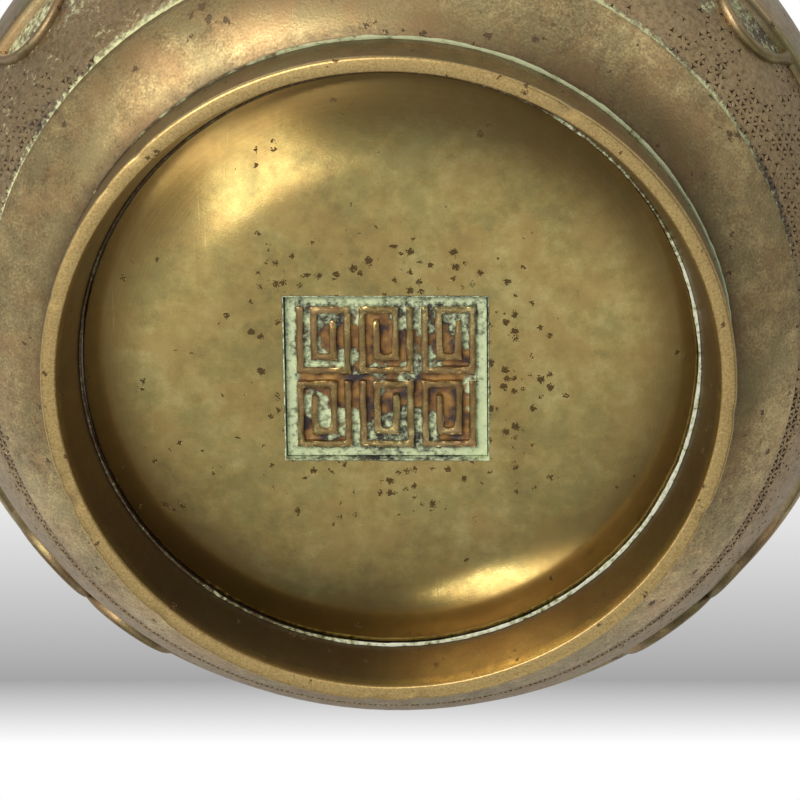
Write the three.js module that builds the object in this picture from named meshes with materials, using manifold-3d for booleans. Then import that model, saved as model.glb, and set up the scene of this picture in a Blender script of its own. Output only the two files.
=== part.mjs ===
// Bronze incense burner: a round-bellied bowl on a ring foot, with a disc let into the foot from below.
// Millimetres, +Z up, origin at the centre of the foot's standing face.
import * as THREE from "three";
import { mergeVertices } from "three/addons/utils/BufferGeometryUtils.js";
import Module from "manifold-3d";

const wasm = await Module();
wasm.setup();

// Driving dimensions of the foot ring
const FOOT_RADIUS = 49;
const FOOT_HEIGHT = 9.9;
const FOOT_FACE_WIDTH = 2.2;
const FOOT_EDGE_ROUND = 0.4;
const FOOT_OUTER_DRAFT = 0.6;
const FOOT_BORE_TAPER = 2.8;

// Driving dimensions of the base disc and the panel sunk in it
const BASE_THICKNESS = 2.8;
const BASE_CROWN = 3.2;
const BASE_FLAT_RADIUS = 29;
const BASE_SEAT_DEPTH = 1;
const PANEL_WIDTH = 28.8;
const PANEL_LENGTH = 24.9;
const PANEL_DEPTH = 1.2;
const PANEL_OFFSET_X = -0.4;
const PANEL_OFFSET_Y = 1;

// Driving dimensions of the tile in the panel and the fret that stands on it
const TILE_THICKNESS = 0.5;
const FRET_COLUMNS = 3;
const FRET_ROWS = 2;
const FRET_MARGIN = 1.5;
const FRET_GAP = 1.1;
const FRET_STROKE = 1;
const FRET_HEIGHT = 0.8;

// Driving dimensions of the bowl
const WALL = 3;
const BAND_RISE = 8.5;
const BAND_SWELL = 0.6;
const BAND_EDGE_STEP = 0.75;
const GROOVE_WIDTH = 0.7;
const BELLY_RADIUS = 68.2;
const BELLY_BULGE = 25;
const BELLY_MIDDLE = 37.6;
const BELLY_SPAN_DOWN = 36;
const BELLY_SPAN_UP = 27;
const NECK_RADIUS = 50.2;
const NECK_FLARE = 5.3;
const NECK_HEIGHT = 16;
const LIP_OVERHANG = 1.5;
const LIP_WIDTH = 4;
const LIP_HEIGHT = 2.6;

// Driving dimensions of the girdle and the lobed frames
const GIRDLE_WIDTH = 22;
const GIRDLE_PROUD = 1.1;
const GIRDLE_BEAD_WIDTH = 1.5;
const GIRDLE_BEAD_RISE = 0.4;
const GIRDLE_GROOVE = 0.5;
const LOBE_RADIUS = 8.4;
const LOBE_SPACING = 15.2;
const LOBE_RISE = 1.2;
const RIB_WIDTH = 1.3;
const RIB_PROUD = 1;
const FRAME_AZIMUTH = 46;

// Clearances between pieces that touch, and the solder that bridges them
const SEAT_GAP = 0.2;
const SOLDER_GAP = 0.12;
const BASE_RIM_GAP = 0.36;
const SOLDER_SIZE = 0.9;
const FOOT_SOLDER_SIZE = 0.55;

// Facets
const TURN_STEPS = 64;
const BAND_STEPS = 4;
const BELLY_STEPS = 7;
const INNER_STEPS = 5;
const NECK_STEPS = 4;
const CROWN_STEPS = 5;
const GIRDLE_STEPS = 4;
const BEAD_STEPS = 3;
const LOBE_STEPS = 11;
const CLIMB_STEPS = 12;

// Keeps the slope finite where the belly would lie level
const LEVEL_LIMIT = 0.01;

// Sizes that follow from the driving ones
const FOOT_FACE_INNER = FOOT_RADIUS - FOOT_FACE_WIDTH;
const SEAM_RADIUS = FOOT_RADIUS - FOOT_OUTER_DRAFT;
const BORE_RADIUS = FOOT_FACE_INNER - FOOT_BORE_TAPER;
const BASE_SEAM_Z = FOOT_HEIGHT - BASE_SEAT_DEPTH;
const BASE_RADIUS = BORE_RADIUS - BASE_RIM_GAP;
const BASE_FACE_Z = BASE_SEAM_Z - BASE_CROWN;
const BASE_ROUNDING = ((BASE_RADIUS - BASE_FLAT_RADIUS) ** 2 / BASE_CROWN + BASE_CROWN) / 2;
const BOWL_BOTTOM_Z = FOOT_HEIGHT + SOLDER_GAP;
const BAND_TOP_Z = FOOT_HEIGHT + BAND_RISE;
const BELLY_Z = FOOT_HEIGHT + BELLY_MIDDLE;
const BELLY_CORE = BELLY_RADIUS - BELLY_BULGE;
const SHOULDER_Z = BELLY_Z + closedHeight(NECK_RADIUS + WALL / 2, BELLY_SPAN_UP, 0);
const LIP_UNDER_Z = SHOULDER_Z + NECK_HEIGHT;
const LIP_TOP_Z = LIP_UNDER_Z + LIP_HEIGHT;

// Bronze, solder and patina
const PLAIN_BRONZE = { color: 0x8a7549, roughness: 0.42, metalness: 1 };
const RUBBED_BRONZE = { color: 0xb8964f, roughness: 0.34, metalness: 1 };
const OLIVE_BRONZE = { color: 0x877546, roughness: 0.3, metalness: 1 };
const GREY_SOLDER = { color: 0xb9bfa8, roughness: 0.6, metalness: 0.4 };
const GREEN_BRONZE = { color: 0x9db187, roughness: 0.7, metalness: 0.4 };

// How far from its widest level the belly has closed in to a radius, on one side of that level.
function closedHeight(radius, span, inset) {
  const share = THREE.MathUtils.clamp((radius - BELLY_CORE) / (BELLY_BULGE - inset), 0, 1);
  return (span - inset) * Math.sqrt(1 - share * share);
}

// Radius of the belly at a height; an inset gives the wall's inner face.
function bellyRadius(z, inset = 0) {
  const span = (z < BELLY_Z ? BELLY_SPAN_DOWN : BELLY_SPAN_UP) - inset;
  const share = THREE.MathUtils.clamp((z - BELLY_Z) / span, -1, 1);
  return BELLY_CORE + (BELLY_BULGE - inset) * Math.sqrt(1 - share * share);
}

// Points of the belly's outline from its widest level to a height, closer together where it turns fast.
function bellyPoints(toZ, inset, steps) {
  const span = (toZ < BELLY_Z ? BELLY_SPAN_DOWN : BELLY_SPAN_UP) - inset;
  const reach = Math.asin(THREE.MathUtils.clamp((toZ - BELLY_Z) / span, -1, 1));
  const points = [];
  for (let i = 0; i <= steps; i++) {
    const z = BELLY_Z + span * Math.sin((reach * i) / steps);
    points.push([bellyRadius(z, inset), z]);
  }
  return points;
}

// A solid turned about the Z axis from a profile of [radius, height] points that starts and ends on it.
function turned(profile) {
  const points = profile.map(([r, z]) => new THREE.Vector2(r, z));
  return new THREE.LatheGeometry(points, TURN_STEPS).rotateX(Math.PI / 2);
}

// A ring turned about the Z axis from a profile that closes on itself.
function turnedRing(profile) {
  return turned([...profile, profile[0]]);
}

// A closed geometry as a solid that can be joined and cut.
function solidOf(geometry) {
  const bare = geometry.clone();
  bare.deleteAttribute("normal");
  bare.deleteAttribute("uv");
  const merged = mergeVertices(bare, 1e-4);
  const vertProperties = new Float32Array(merged.attributes.position.array);
  const triVerts = new Uint32Array(merged.index.array);
  return new wasm.Manifold(new wasm.Mesh({ numProp: 3, vertProperties, triVerts }));
}

// A solid back as a geometry.
function geometryOf(solid) {
  const mesh = solid.getMesh();
  const geometry = new THREE.BufferGeometry();
  geometry.setAttribute("position", new THREE.BufferAttribute(mesh.vertProperties, 3));
  geometry.setIndex(new THREE.BufferAttribute(mesh.triVerts, 1));
  geometry.computeVertexNormals();
  return geometry;
}

function piece(name, geometry, finish) {
  const mesh = new THREE.Mesh(geometry, new THREE.MeshStandardMaterial(finish));
  mesh.name = name;
  return mesh;
}

// Radius of the foot's bore at a height: it closes in evenly up to the disc's seat.
function footBoreRadius(z) {
  return THREE.MathUtils.lerp(FOOT_FACE_INNER, BORE_RADIUS, z / BASE_SEAM_Z);
}

// Radius of the foot's outer wall at a height: it leans in evenly up to the seam with the bowl.
function footWallRadius(z) {
  return THREE.MathUtils.lerp(FOOT_RADIUS, SEAM_RADIUS, z / FOOT_HEIGHT);
}

// Foot ring: a worn flat standing face, a leaning outer wall and a tapered bore with a seat for the disc.
function footRing() {
  return turnedRing([
    [FOOT_FACE_INNER, 0],
    [FOOT_RADIUS - FOOT_EDGE_ROUND, 0],
    [footWallRadius(FOOT_EDGE_ROUND), FOOT_EDGE_ROUND],
    [SEAM_RADIUS, FOOT_HEIGHT],
    [BORE_RADIUS, FOOT_HEIGHT],
    [BORE_RADIUS, BASE_SEAM_Z],
  ]);
}

// Height of the base disc's lower face at a radius: flat in the middle, then rounded up to its seat.
function baseFaceAt(radius) {
  const reach = Math.max(0, radius - BASE_FLAT_RADIUS);
  return BASE_FACE_Z + BASE_ROUNDING - Math.sqrt(BASE_ROUNDING ** 2 - reach ** 2);
}

// Base disc: a shallow dish of even thickness, bulging downwards, with the panel sunk in its lower face.
function baseDisc() {
  const lower = [[0, BASE_FACE_Z]];
  for (let i = 0; i <= CROWN_STEPS; i++) {
    const radius = THREE.MathUtils.lerp(BASE_FLAT_RADIUS, BASE_RADIUS, i / CROWN_STEPS);
    lower.push([radius, baseFaceAt(radius)]);
  }
  const upper = lower.map(([r, z]) => [r, z + BASE_THICKNESS]).reverse();
  const depth = PANEL_DEPTH + TILE_THICKNESS + SEAT_GAP;
  const cutter = new THREE.BoxGeometry(PANEL_WIDTH, PANEL_LENGTH, 2 * depth);
  cutter.translate(PANEL_OFFSET_X, PANEL_OFFSET_Y, BASE_FACE_Z);
  return geometryOf(solidOf(turned([...lower, ...upper])).subtract(solidOf(cutter)));
}

// Strokes of one squared spiral as [centre x, centre y, length x, length y], in a cell about the origin.
function spiralStrokes(width, length) {
  const a = (width - FRET_STROKE) / 2;
  const b = (length - FRET_STROKE) / 2;
  const turn = 2 * FRET_STROKE;
  const corners = [
    [-a, -b],
    [-a, b],
    [a, b],
    [a, -b],
    [turn - a, -b],
    [turn - a, b - turn],
    [a - turn, b - turn],
    [a - turn, turn - b],
  ];
  return corners.slice(1).map(([x, y], i) => {
    const [fromX, fromY] = corners[i];
    const lengthX = Math.abs(x - fromX) + FRET_STROKE;
    const lengthY = Math.abs(y - fromY) + FRET_STROKE;
    return [(x + fromX) / 2, (y + fromY) / 2, lengthX, lengthY];
  });
}

// Tile in the sunk panel, with rows of squared spirals standing on its lower face.
function panelTile() {
  const width = PANEL_WIDTH - 2 * SEAT_GAP;
  const length = PANEL_LENGTH - 2 * SEAT_GAP;
  const middle = BASE_FACE_Z + PANEL_DEPTH + TILE_THICKNESS / 2;
  const cellWidth = (width - 2 * FRET_MARGIN - (FRET_COLUMNS - 1) * FRET_GAP) / FRET_COLUMNS;
  const cellLength = (length - 2 * FRET_MARGIN - (FRET_ROWS - 1) * FRET_GAP) / FRET_ROWS;
  const strokeHeight = FRET_HEIGHT + TILE_THICKNESS / 2;
  let tile = solidOf(new THREE.BoxGeometry(width, length, TILE_THICKNESS));
  for (let column = 0; column < FRET_COLUMNS; column++) {
    for (let row = 0; row < FRET_ROWS; row++) {
      const x = (column - (FRET_COLUMNS - 1) / 2) * (cellWidth + FRET_GAP);
      const y = (row - (FRET_ROWS - 1) / 2) * (cellLength + FRET_GAP);
      const side = (column + row) % 2 ? -1 : 1;
      for (const [cx, cy, lengthX, lengthY] of spiralStrokes(cellWidth, cellLength)) {
        const stroke = new THREE.BoxGeometry(lengthX, lengthY, strokeHeight);
        stroke.translate(x + side * cx, y + cy, -strokeHeight / 2);
        tile = tile.add(solidOf(stroke));
      }
    }
  }
  return geometryOf(tile).translate(PANEL_OFFSET_X, PANEL_OFFSET_Y, middle);
}

// Solder that holds the disc in the foot: a thin bead in the corner between them.
function baseSolder() {
  const low = BASE_SEAM_Z - SOLDER_SIZE;
  const inner = BASE_RADIUS - SOLDER_SIZE / 2;
  return turnedRing([
    [inner, baseFaceAt(inner) - SOLDER_GAP],
    [footBoreRadius(low) - SOLDER_GAP, low],
    [BORE_RADIUS - SOLDER_GAP, BASE_SEAM_Z],
    [BASE_RADIUS + SOLDER_GAP, BASE_SEAM_Z],
  ]);
}

// Outline of the plain band, from the foot's seam out to the groove, swelling outwards.
function bandPoints() {
  const start = new THREE.Vector2(SEAM_RADIUS, BOWL_BOTTOM_Z);
  const end = new THREE.Vector2(bellyRadius(BAND_TOP_Z) + BAND_EDGE_STEP, BAND_TOP_Z);
  const along = end.clone().sub(start).normalize();
  const points = [];
  for (let i = 0; i <= BAND_STEPS; i++) {
    const swell = BAND_SWELL * Math.sin((Math.PI * i) / BAND_STEPS);
    const point = start.clone().lerp(end, i / BAND_STEPS);
    points.push([point.x + swell * along.y, point.y - swell * along.x]);
  }
  return points;
}

// Solder along the foot's outer seam: a thin fillet under the bowl's first step outwards.
function footSolder() {
  const [start, next] = bandPoints();
  const slope = (next[1] - start[1]) / (next[0] - start[0]);
  const under = (r) => start[1] + slope * (r - start[0]) - SOLDER_GAP;
  const low = under(SEAM_RADIUS) - FOOT_SOLDER_SIZE;
  const inner = footWallRadius(low) + SOLDER_GAP;
  const outer = inner + FOOT_SOLDER_SIZE;
  return turnedRing([
    [inner, low],
    [outer, under(outer) - FOOT_SOLDER_SIZE / 3],
    [outer, under(outer)],
    [inner, under(inner)],
  ]);
}

// Outline of the neck, from the shoulder up to the underside of the lip; an inset gives its inner face.
function neckPoints(inset) {
  const foot = BELLY_Z + closedHeight(NECK_RADIUS + WALL / 2 - inset, BELLY_SPAN_UP, inset);
  const points = [];
  for (let i = 1; i <= NECK_STEPS; i++) {
    const share = i / NECK_STEPS;
    const cove = (WALL / 2) * (1 - share) ** 4;
    const flare = NECK_FLARE * share ** 2;
    points.push([NECK_RADIUS - inset + cove + flare, THREE.MathUtils.lerp(foot, LIP_UNDER_Z, share)]);
  }
  return points;
}

// Bowl: plain band, groove, belly, waisted neck and everted lip outside, and an even wall inside.
function bowl() {
  const lipRadius = NECK_RADIUS + NECK_FLARE + LIP_OVERHANG;
  const lipRound = LIP_WIDTH / 4;
  const innerNeck = BELLY_Z + closedHeight(NECK_RADIUS - WALL / 2, BELLY_SPAN_UP, WALL);
  const innerFloor = BELLY_Z - closedHeight(BORE_RADIUS + WALL, BELLY_SPAN_DOWN, WALL);
  return turnedRing([
    [BORE_RADIUS, BOWL_BOTTOM_Z],
    ...bandPoints(),
    [bellyRadius(BAND_TOP_Z), BAND_TOP_Z + GROOVE_WIDTH / 2],
    ...bellyPoints(BAND_TOP_Z + GROOVE_WIDTH, 0, BELLY_STEPS).reverse(),
    ...bellyPoints(SHOULDER_Z, 0, BELLY_STEPS).slice(1),
    ...neckPoints(0),
    [lipRadius, LIP_UNDER_Z + LIP_HEIGHT / 3],
    [lipRadius, LIP_TOP_Z - lipRound],
    [lipRadius - lipRound, LIP_TOP_Z],
    [lipRadius - LIP_WIDTH, LIP_TOP_Z],
    ...neckPoints(WALL).reverse(),
    ...bellyPoints(innerNeck, WALL, INNER_STEPS).reverse(),
    ...bellyPoints(innerFloor, WALL, INNER_STEPS).slice(1),
    [BORE_RADIUS, innerFloor - WALL / 2],
  ]);
}

// One edge of the girdle from its outer corner inwards: a round bead.
function beadPoints(side) {
  const points = [];
  for (let i = 0; i <= BEAD_STEPS; i++) {
    const share = i / BEAD_STEPS;
    const z = BELLY_Z + side * (GIRDLE_WIDTH / 2 - GIRDLE_BEAD_WIDTH * share);
    const rise = GIRDLE_BEAD_RISE * (2 * Math.sin(Math.PI * share) - 1);
    points.push([bellyRadius(z) + GIRDLE_PROUD + rise, z]);
  }
  return points;
}

// Girdle: a smooth band about the widest part, with a bead along each edge and a fine groove inside it.
function girdle() {
  const half = GIRDLE_WIDTH / 2;
  const field = half - GIRDLE_BEAD_WIDTH - GIRDLE_GROOVE;
  const face = [];
  const back = [];
  for (let i = 0; i <= GIRDLE_STEPS; i++) {
    const faceZ = THREE.MathUtils.lerp(BELLY_Z - field, BELLY_Z + field, i / GIRDLE_STEPS);
    const backZ = THREE.MathUtils.lerp(BELLY_Z + half, BELLY_Z - half, i / GIRDLE_STEPS);
    face.push([bellyRadius(faceZ) + GIRDLE_PROUD, faceZ]);
    back.push([bellyRadius(backZ) + SEAT_GAP, backZ]);
  }
  return turnedRing([...beadPoints(-1), ...face, ...beadPoints(1).reverse(), ...back]);
}

// Left-hand lobe's edge at a radius, from its outer end at the girdle round to where it stops.
function lobeArc(radius, stop) {
  const start = Math.asin(LOBE_RISE / radius) - Math.PI;
  const points = [];
  for (let i = 0; i <= LOBE_STEPS; i++) {
    const turn = THREE.MathUtils.lerp(start, stop, i / LOBE_STEPS);
    const x = radius * Math.cos(turn) - LOBE_SPACING / 2;
    points.push(new THREE.Vector2(x, radius * Math.sin(turn) + LOBE_RISE));
  }
  return points;
}

// Flat outline of a lobed frame's rib: two round lobes side by side that meet in a cusp, open at the top.
function lobedOutline() {
  const mirrored = (points) => points.map((p) => new THREE.Vector2(-p.x, p.y)).reverse();
  const cusp = -Math.acos(Math.min(1, LOBE_SPACING / 2 / LOBE_RADIUS));
  const outer = lobeArc(LOBE_RADIUS, cusp);
  const bore = LOBE_RADIUS - RIB_WIDTH;
  const inner = lobeArc(bore, -Math.asin(LOBE_RISE / bore));
  const right = mirrored(outer).slice(LOBE_SPACING < 2 * LOBE_RADIUS ? 1 : 0);
  return [...outer, ...right, ...mirrored(inner).reverse(), ...inner.reverse()];
}

// How fast the belly's radius grows with height.
function bellySlope(z) {
  const span = z < BELLY_Z ? BELLY_SPAN_DOWN : BELLY_SPAN_UP;
  const share = (z - BELLY_Z) / span;
  return (-BELLY_BULGE * share) / span / Math.sqrt(Math.max(LEVEL_LIMIT, 1 - share * share));
}

// Point of the belly a distance along its outline from a height, as [radius, height, slope].
function climbed(fromZ, distance) {
  let z = fromZ;
  for (let i = 0; i < CLIMB_STEPS; i++) z += distance / CLIMB_STEPS / Math.hypot(1, bellySlope(z));
  return [bellyRadius(z), z, bellySlope(z)];
}

// Lobed frame's rib, laid on the belly below the girdle (side -1) or above it (side 1).
function lobedFrame(azimuth, side) {
  const shape = new THREE.Shape(lobedOutline());
  const geometry = new THREE.ExtrudeGeometry(shape, { depth: RIB_PROUD, bevelEnabled: false });
  if (side > 0) geometry.rotateZ(Math.PI);
  const edge = BELLY_Z + side * (GIRDLE_WIDTH / 2 + SEAT_GAP);
  const place = geometry.attributes.position;
  for (let i = 0; i < place.count; i++) {
    const [radius, z, slope] = climbed(edge, place.getY(i));
    const out = (SEAT_GAP + place.getZ(i)) / Math.hypot(1, slope);
    const turn = THREE.MathUtils.degToRad(azimuth) + place.getX(i) / bellyRadius(edge);
    const reach = radius + out;
    place.setXYZ(i, reach * Math.cos(turn), reach * Math.sin(turn), z - out * slope);
  }
  geometry.computeVertexNormals();
  return geometry;
}

// The eight lobed frames, in pairs on the diagonals, below and above the girdle.
function lobedFrames() {
  const corners = {
    back_right: FRAME_AZIMUTH,
    back_left: 180 - FRAME_AZIMUTH,
    front_left: 180 + FRAME_AZIMUTH,
    front_right: -FRAME_AZIMUTH,
  };
  const frames = new THREE.Group();
  for (const [corner, azimuth] of Object.entries(corners)) {
    frames.add(piece(`lower_frame_${corner}`, lobedFrame(azimuth, -1), PLAIN_BRONZE));
    frames.add(piece(`upper_frame_${corner}`, lobedFrame(azimuth, 1), PLAIN_BRONZE));
  }
  return frames;
}

const burner = new THREE.Group();
burner.add(
  piece("foot_ring", footRing(), RUBBED_BRONZE),
  piece("base_disc", baseDisc(), OLIVE_BRONZE),
  piece("panel_tile", panelTile(), GREEN_BRONZE),
  piece("base_solder", baseSolder(), GREY_SOLDER),
  piece("foot_solder", footSolder(), GREY_SOLDER),
  piece("bowl", bowl(), PLAIN_BRONZE),
  piece("girdle", girdle(), PLAIN_BRONZE),
  lobedFrames(),
);

export default burner;
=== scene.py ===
"""Looks of a cast bronze incense burner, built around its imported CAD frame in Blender 4.5.

Lengths inside the classes are millimetres. The finished meshes are in metres, in the frame of the CAD part:
the standing face is on z = 0, the mouth is up, and -Y is the upper side of the picture.
"""

import logging
import math
import random
from dataclasses import dataclass, field
from enum import Enum
from functools import lru_cache
from typing import Sequence

import bmesh
import bpy
from mathutils import Matrix, Vector, noise


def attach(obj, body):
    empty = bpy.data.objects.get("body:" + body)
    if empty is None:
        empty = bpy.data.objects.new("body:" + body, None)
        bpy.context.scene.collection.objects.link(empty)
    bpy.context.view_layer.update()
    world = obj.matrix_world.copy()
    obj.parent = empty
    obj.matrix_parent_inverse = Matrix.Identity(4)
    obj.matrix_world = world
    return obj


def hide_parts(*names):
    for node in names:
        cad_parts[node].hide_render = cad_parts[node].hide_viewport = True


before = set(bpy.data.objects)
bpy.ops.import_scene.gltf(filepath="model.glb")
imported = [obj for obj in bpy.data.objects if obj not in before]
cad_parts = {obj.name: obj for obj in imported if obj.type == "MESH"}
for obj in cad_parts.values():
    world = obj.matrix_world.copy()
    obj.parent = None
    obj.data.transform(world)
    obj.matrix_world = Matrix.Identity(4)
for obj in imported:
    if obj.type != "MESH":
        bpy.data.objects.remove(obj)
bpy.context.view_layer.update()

LOG = logging.getLogger("incense_burner")

MM = 0.001
FULL_TURN = 2 * math.pi
MERGE = 1e-4
SHARP_ANGLE = math.radians(38)
# A face looks up or down where its normal's z is past this.
FACING = 0.5
# How near a vertex lies to a circle's radius and height to count as on it.
NEAR_RADIUS = 0.02
NEAR_LEVEL = 0.005
# Turns a point in metres into millimetres and drops its height.
FLAT_MM = (1 / MM, 1 / MM, 0)
# Height of the plain band's upper edge, above which the groove and the punched ground start.
BAND_TOP = 18.4
# Start of the vector noise. Without one it starts from the clock and differs in every run.
NOISE_SEED = 1

Outline = Sequence[tuple[float, float]]


class Slot(Enum):
    """Material slots of the record."""

    PLAIN = "plain_bronze"
    FRAME = "frame_bronze"
    RUBBED = "rubbed_bronze"
    OLIVE = "olive_bronze"
    GREEN = "green_bronze"
    SOLDER = "solder"


class Zone(Enum):
    """Parts of the bowl's turned outline."""

    SEAM = 0
    BAND = 1
    GROOVE = 2
    GROUND = 3
    COVERED = 4
    SHOULDER = 5
    NECK = 6
    INSIDE = 7


# Shared shapes


@dataclass(frozen=True)
class Belly:
    """Outline of the belly: a bulge of two half ellipses about its widest height."""

    core: float = 43.2
    bulge: float = 25.0
    middle: float = 47.5
    span_down: float = 36.0
    span_up: float = 27.0
    level_limit: float = 0.01
    climb_steps: int = 12

    def span(self, z: float) -> float:
        """Height of the half ellipse that a height belongs to."""
        return self.span_down if z < self.middle else self.span_up

    def radius(self, z: float, inset: float = 0.0) -> float:
        """Radius at a height, or of a surface that lies an inset further in."""
        share = (z - self.middle) / (self.span(z) - inset)
        return self.core + (self.bulge - inset) * math.sqrt(max(0.0, 1 - share * share))

    def rise(self, radius: float, span: float, inset: float = 0.0) -> float:
        """How far above or below the middle the belly has closed to a radius."""
        share = (radius - self.core) / (self.bulge - inset)
        return (span - inset) * math.sqrt(max(0.0, 1 - share * share))

    def slope(self, z: float) -> float:
        """How fast the radius grows with height."""
        span = self.span(z)
        share = (z - self.middle) / span
        return -self.bulge * share / span / math.sqrt(max(self.level_limit, 1 - share * share))

    @lru_cache(maxsize=None)
    def climbed(self, from_z: float, distance: float) -> float:
        """Height reached from another height by a distance along the outline."""
        z = from_z
        for _ in range(self.climb_steps):
            z += distance / self.climb_steps / math.hypot(1, self.slope(z))
        return z

    @lru_cache(maxsize=None)
    def walked(self, from_z: float, to_z: float) -> float:
        """Distance along the outline between two heights, negative downwards."""
        step = (to_z - from_z) / self.climb_steps
        heights = [from_z + step * (i + 0.5) for i in range(self.climb_steps)]
        return sum(step * math.hypot(1, self.slope(z)) for z in heights)


BELLY = Belly()


@dataclass(frozen=True)
class Foot:
    """Sizes that the foot ring, the disc and the bowl's seam share."""

    radius: float = 49.0
    height: float = 9.9
    face_width: float = 2.2
    seam_radius: float = 48.4
    bore_radius: float = 44.0
    seam_z: float = 8.9

    @property
    def face_inner(self) -> float:
        """Inner radius of the standing face."""
        return self.radius - self.face_width

    def bore_at(self, z: float) -> float:
        """Radius of the tapered bore at a height."""
        return self.face_inner + (self.bore_radius - self.face_inner) * z / self.seam_z

    def wall_at(self, z: float) -> float:
        """Radius of the outer wall at a height."""
        return self.radius + (self.seam_radius - self.radius) * z / self.height


FOOT = Foot()


@dataclass(frozen=True)
class PanelPlace:
    """Where the sunk panel lies in the disc."""

    x: float = -0.4
    y: float = 1.0
    width: float = 28.8
    length: float = 24.9

    def inside(self, skin: "Skin") -> bpy.types.NodeSocket:
        """Distance of a point inside the panel's outline in a material, in millimetres, negative outside."""
        shift = (-self.x, -self.y, 0)
        off = skin.add("VectorMath", {"operation": "MULTIPLY_ADD", 0: skin.point, 1: FLAT_MM, 2: shift})
        off = skin.add("VectorMath", {"operation": "ABSOLUTE", 0: off})
        sides = skin.add("SeparateXYZ", {0: off})
        to_x = skin.add("Math", {"operation": "SUBTRACT", 0: self.width / 2, 1: sides})
        to_y = skin.add("Math", {"operation": "SUBTRACT", 0: self.length / 2, 1: sides.node.outputs["Y"]})
        return skin.add("Math", {"operation": "MINIMUM", 0: to_x, 1: to_y})


PANEL = PanelPlace()


def turned(points: Outline, steps: int, closed: bool = True) -> bmesh.types.BMesh:
    """Spins an outline about the vessel's axis.

    Args:
        points: radius and height of each corner, in order.
        steps: number of facets in a full turn.
        closed: whether the last corner joins the first.

    Returns:
        A new bmesh with one ring of vertices for each corner, numbered in the layer "ring".
    """
    bm = bmesh.new()
    ring = bm.verts.layers.int.new("ring")
    verts = [bm.verts.new((r, 0.0, z)) for r, z in points]
    for index, vert in enumerate(verts):
        vert[ring] = index
    pairs = list(zip(verts, verts[1:])) + ([(verts[-1], verts[0])] if closed else [])
    edges = [bm.edges.new(pair) for pair in pairs]
    bmesh.ops.spin(
        bm, geom=verts + edges, cent=(0, 0, 0), axis=(0, 0, 1), angle=FULL_TURN, steps=steps, use_merge=True
    )
    bmesh.ops.remove_doubles(bm, verts=bm.verts[:], dist=MERGE)
    bmesh.ops.recalc_face_normals(bm, faces=bm.faces[:])
    return bm


def round_ring(bm: bmesh.types.BMesh, radius: float, z: float, width: float, segments: int) -> None:
    """Rounds the circular edge at a radius and height.

    Args:
        bm: mesh turned about the vessel's axis.
        radius: radius of the edge.
        z: height of the edge.
        width: how far the rounding reaches from the edge.
        segments: number of facets across it.
    """

    def on_ring(vert: bmesh.types.BMVert) -> bool:
        near = abs(math.hypot(vert.co.x, vert.co.y) - radius) < NEAR_RADIUS
        return near and abs(vert.co.z - z) < NEAR_LEVEL

    edges = [e for e in bm.edges if all(on_ring(v) for v in e.verts)]
    bmesh.ops.bevel(
        bm, geom=edges, offset=width, offset_type="OFFSET", segments=segments, profile=0.5,
        affect="EDGES", material=-1, clamp_overlap=True,
    )


def in_turn(face: bmesh.types.BMFace) -> tuple[float, float]:
    """Height and direction of a face's middle, which put faces in the same order in every run."""
    centre = face.calc_center_median()
    return round(centre.z, 2), round(math.atan2(centre.y, centre.x), 3)


def begun_alike(bm: bmesh.types.BMesh, face: bmesh.types.BMFace) -> None:
    """Makes a face again from its leftmost corner, so that it falls into the same triangles in every run."""
    verts = list(face.verts)
    first = min(range(len(verts)), key=lambda i: (round(verts[i].co.x, 3), round(verts[i].co.z, 3)))
    bm.faces.remove(face)
    bm.faces.new(verts[first:] + verts[:first])


def finished(
    bm: bmesh.types.BMesh,
    name: str,
    materials: Sequence[bpy.types.Material],
    nodes: Sequence[str],
    sharp: float = SHARP_ANGLE,
) -> bpy.types.Object:
    """Turns a bmesh in millimetres into a piece of the burner.

    Args:
        bm: the mesh, which is freed.
        name: name of the piece.
        materials: its materials, in the order of its faces' indices.
        nodes: CAD nodes that it stands for.
        sharp: angle past which an edge shows as a crease.

    Returns:
        The new object, riding on the burner's only body.
    """
    bmesh.ops.scale(bm, vec=(MM, MM, MM), verts=bm.verts[:])
    for face in bm.faces:
        face.smooth = True
    for edge in bm.edges:
        edge.smooth = edge.calc_face_angle(0.0) < sharp
    mesh = bpy.data.meshes.new(name)
    bm.to_mesh(mesh)
    bm.free()
    for material in materials:
        mesh.materials.append(material)
    piece = bpy.data.objects.new(name, mesh)
    bpy.context.scene.collection.objects.link(piece)
    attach(piece, "root")
    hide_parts(*nodes)
    LOG.info("%s: %d faces, stands for %s", name, len(mesh.polygons), ", ".join(nodes))
    return piece


# Materials


def linear(colour: str) -> tuple[float, float, float, float]:
    """Linear colour of an sRGB hex value such as "8A7549"."""

    def channel(value: float) -> float:
        return value / 12.92 if value <= 0.04045 else ((value + 0.055) / 1.055) ** 2.4

    red, green, blue = (channel(int(colour[i : i + 2], 16) / 255) for i in (0, 2, 4))
    return red, green, blue, 1.0


def per_mm(size: float) -> float:
    """Scale of a pattern on Object coordinates whose features measure a size in millimetres."""
    return 1 / (size * MM)


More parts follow.
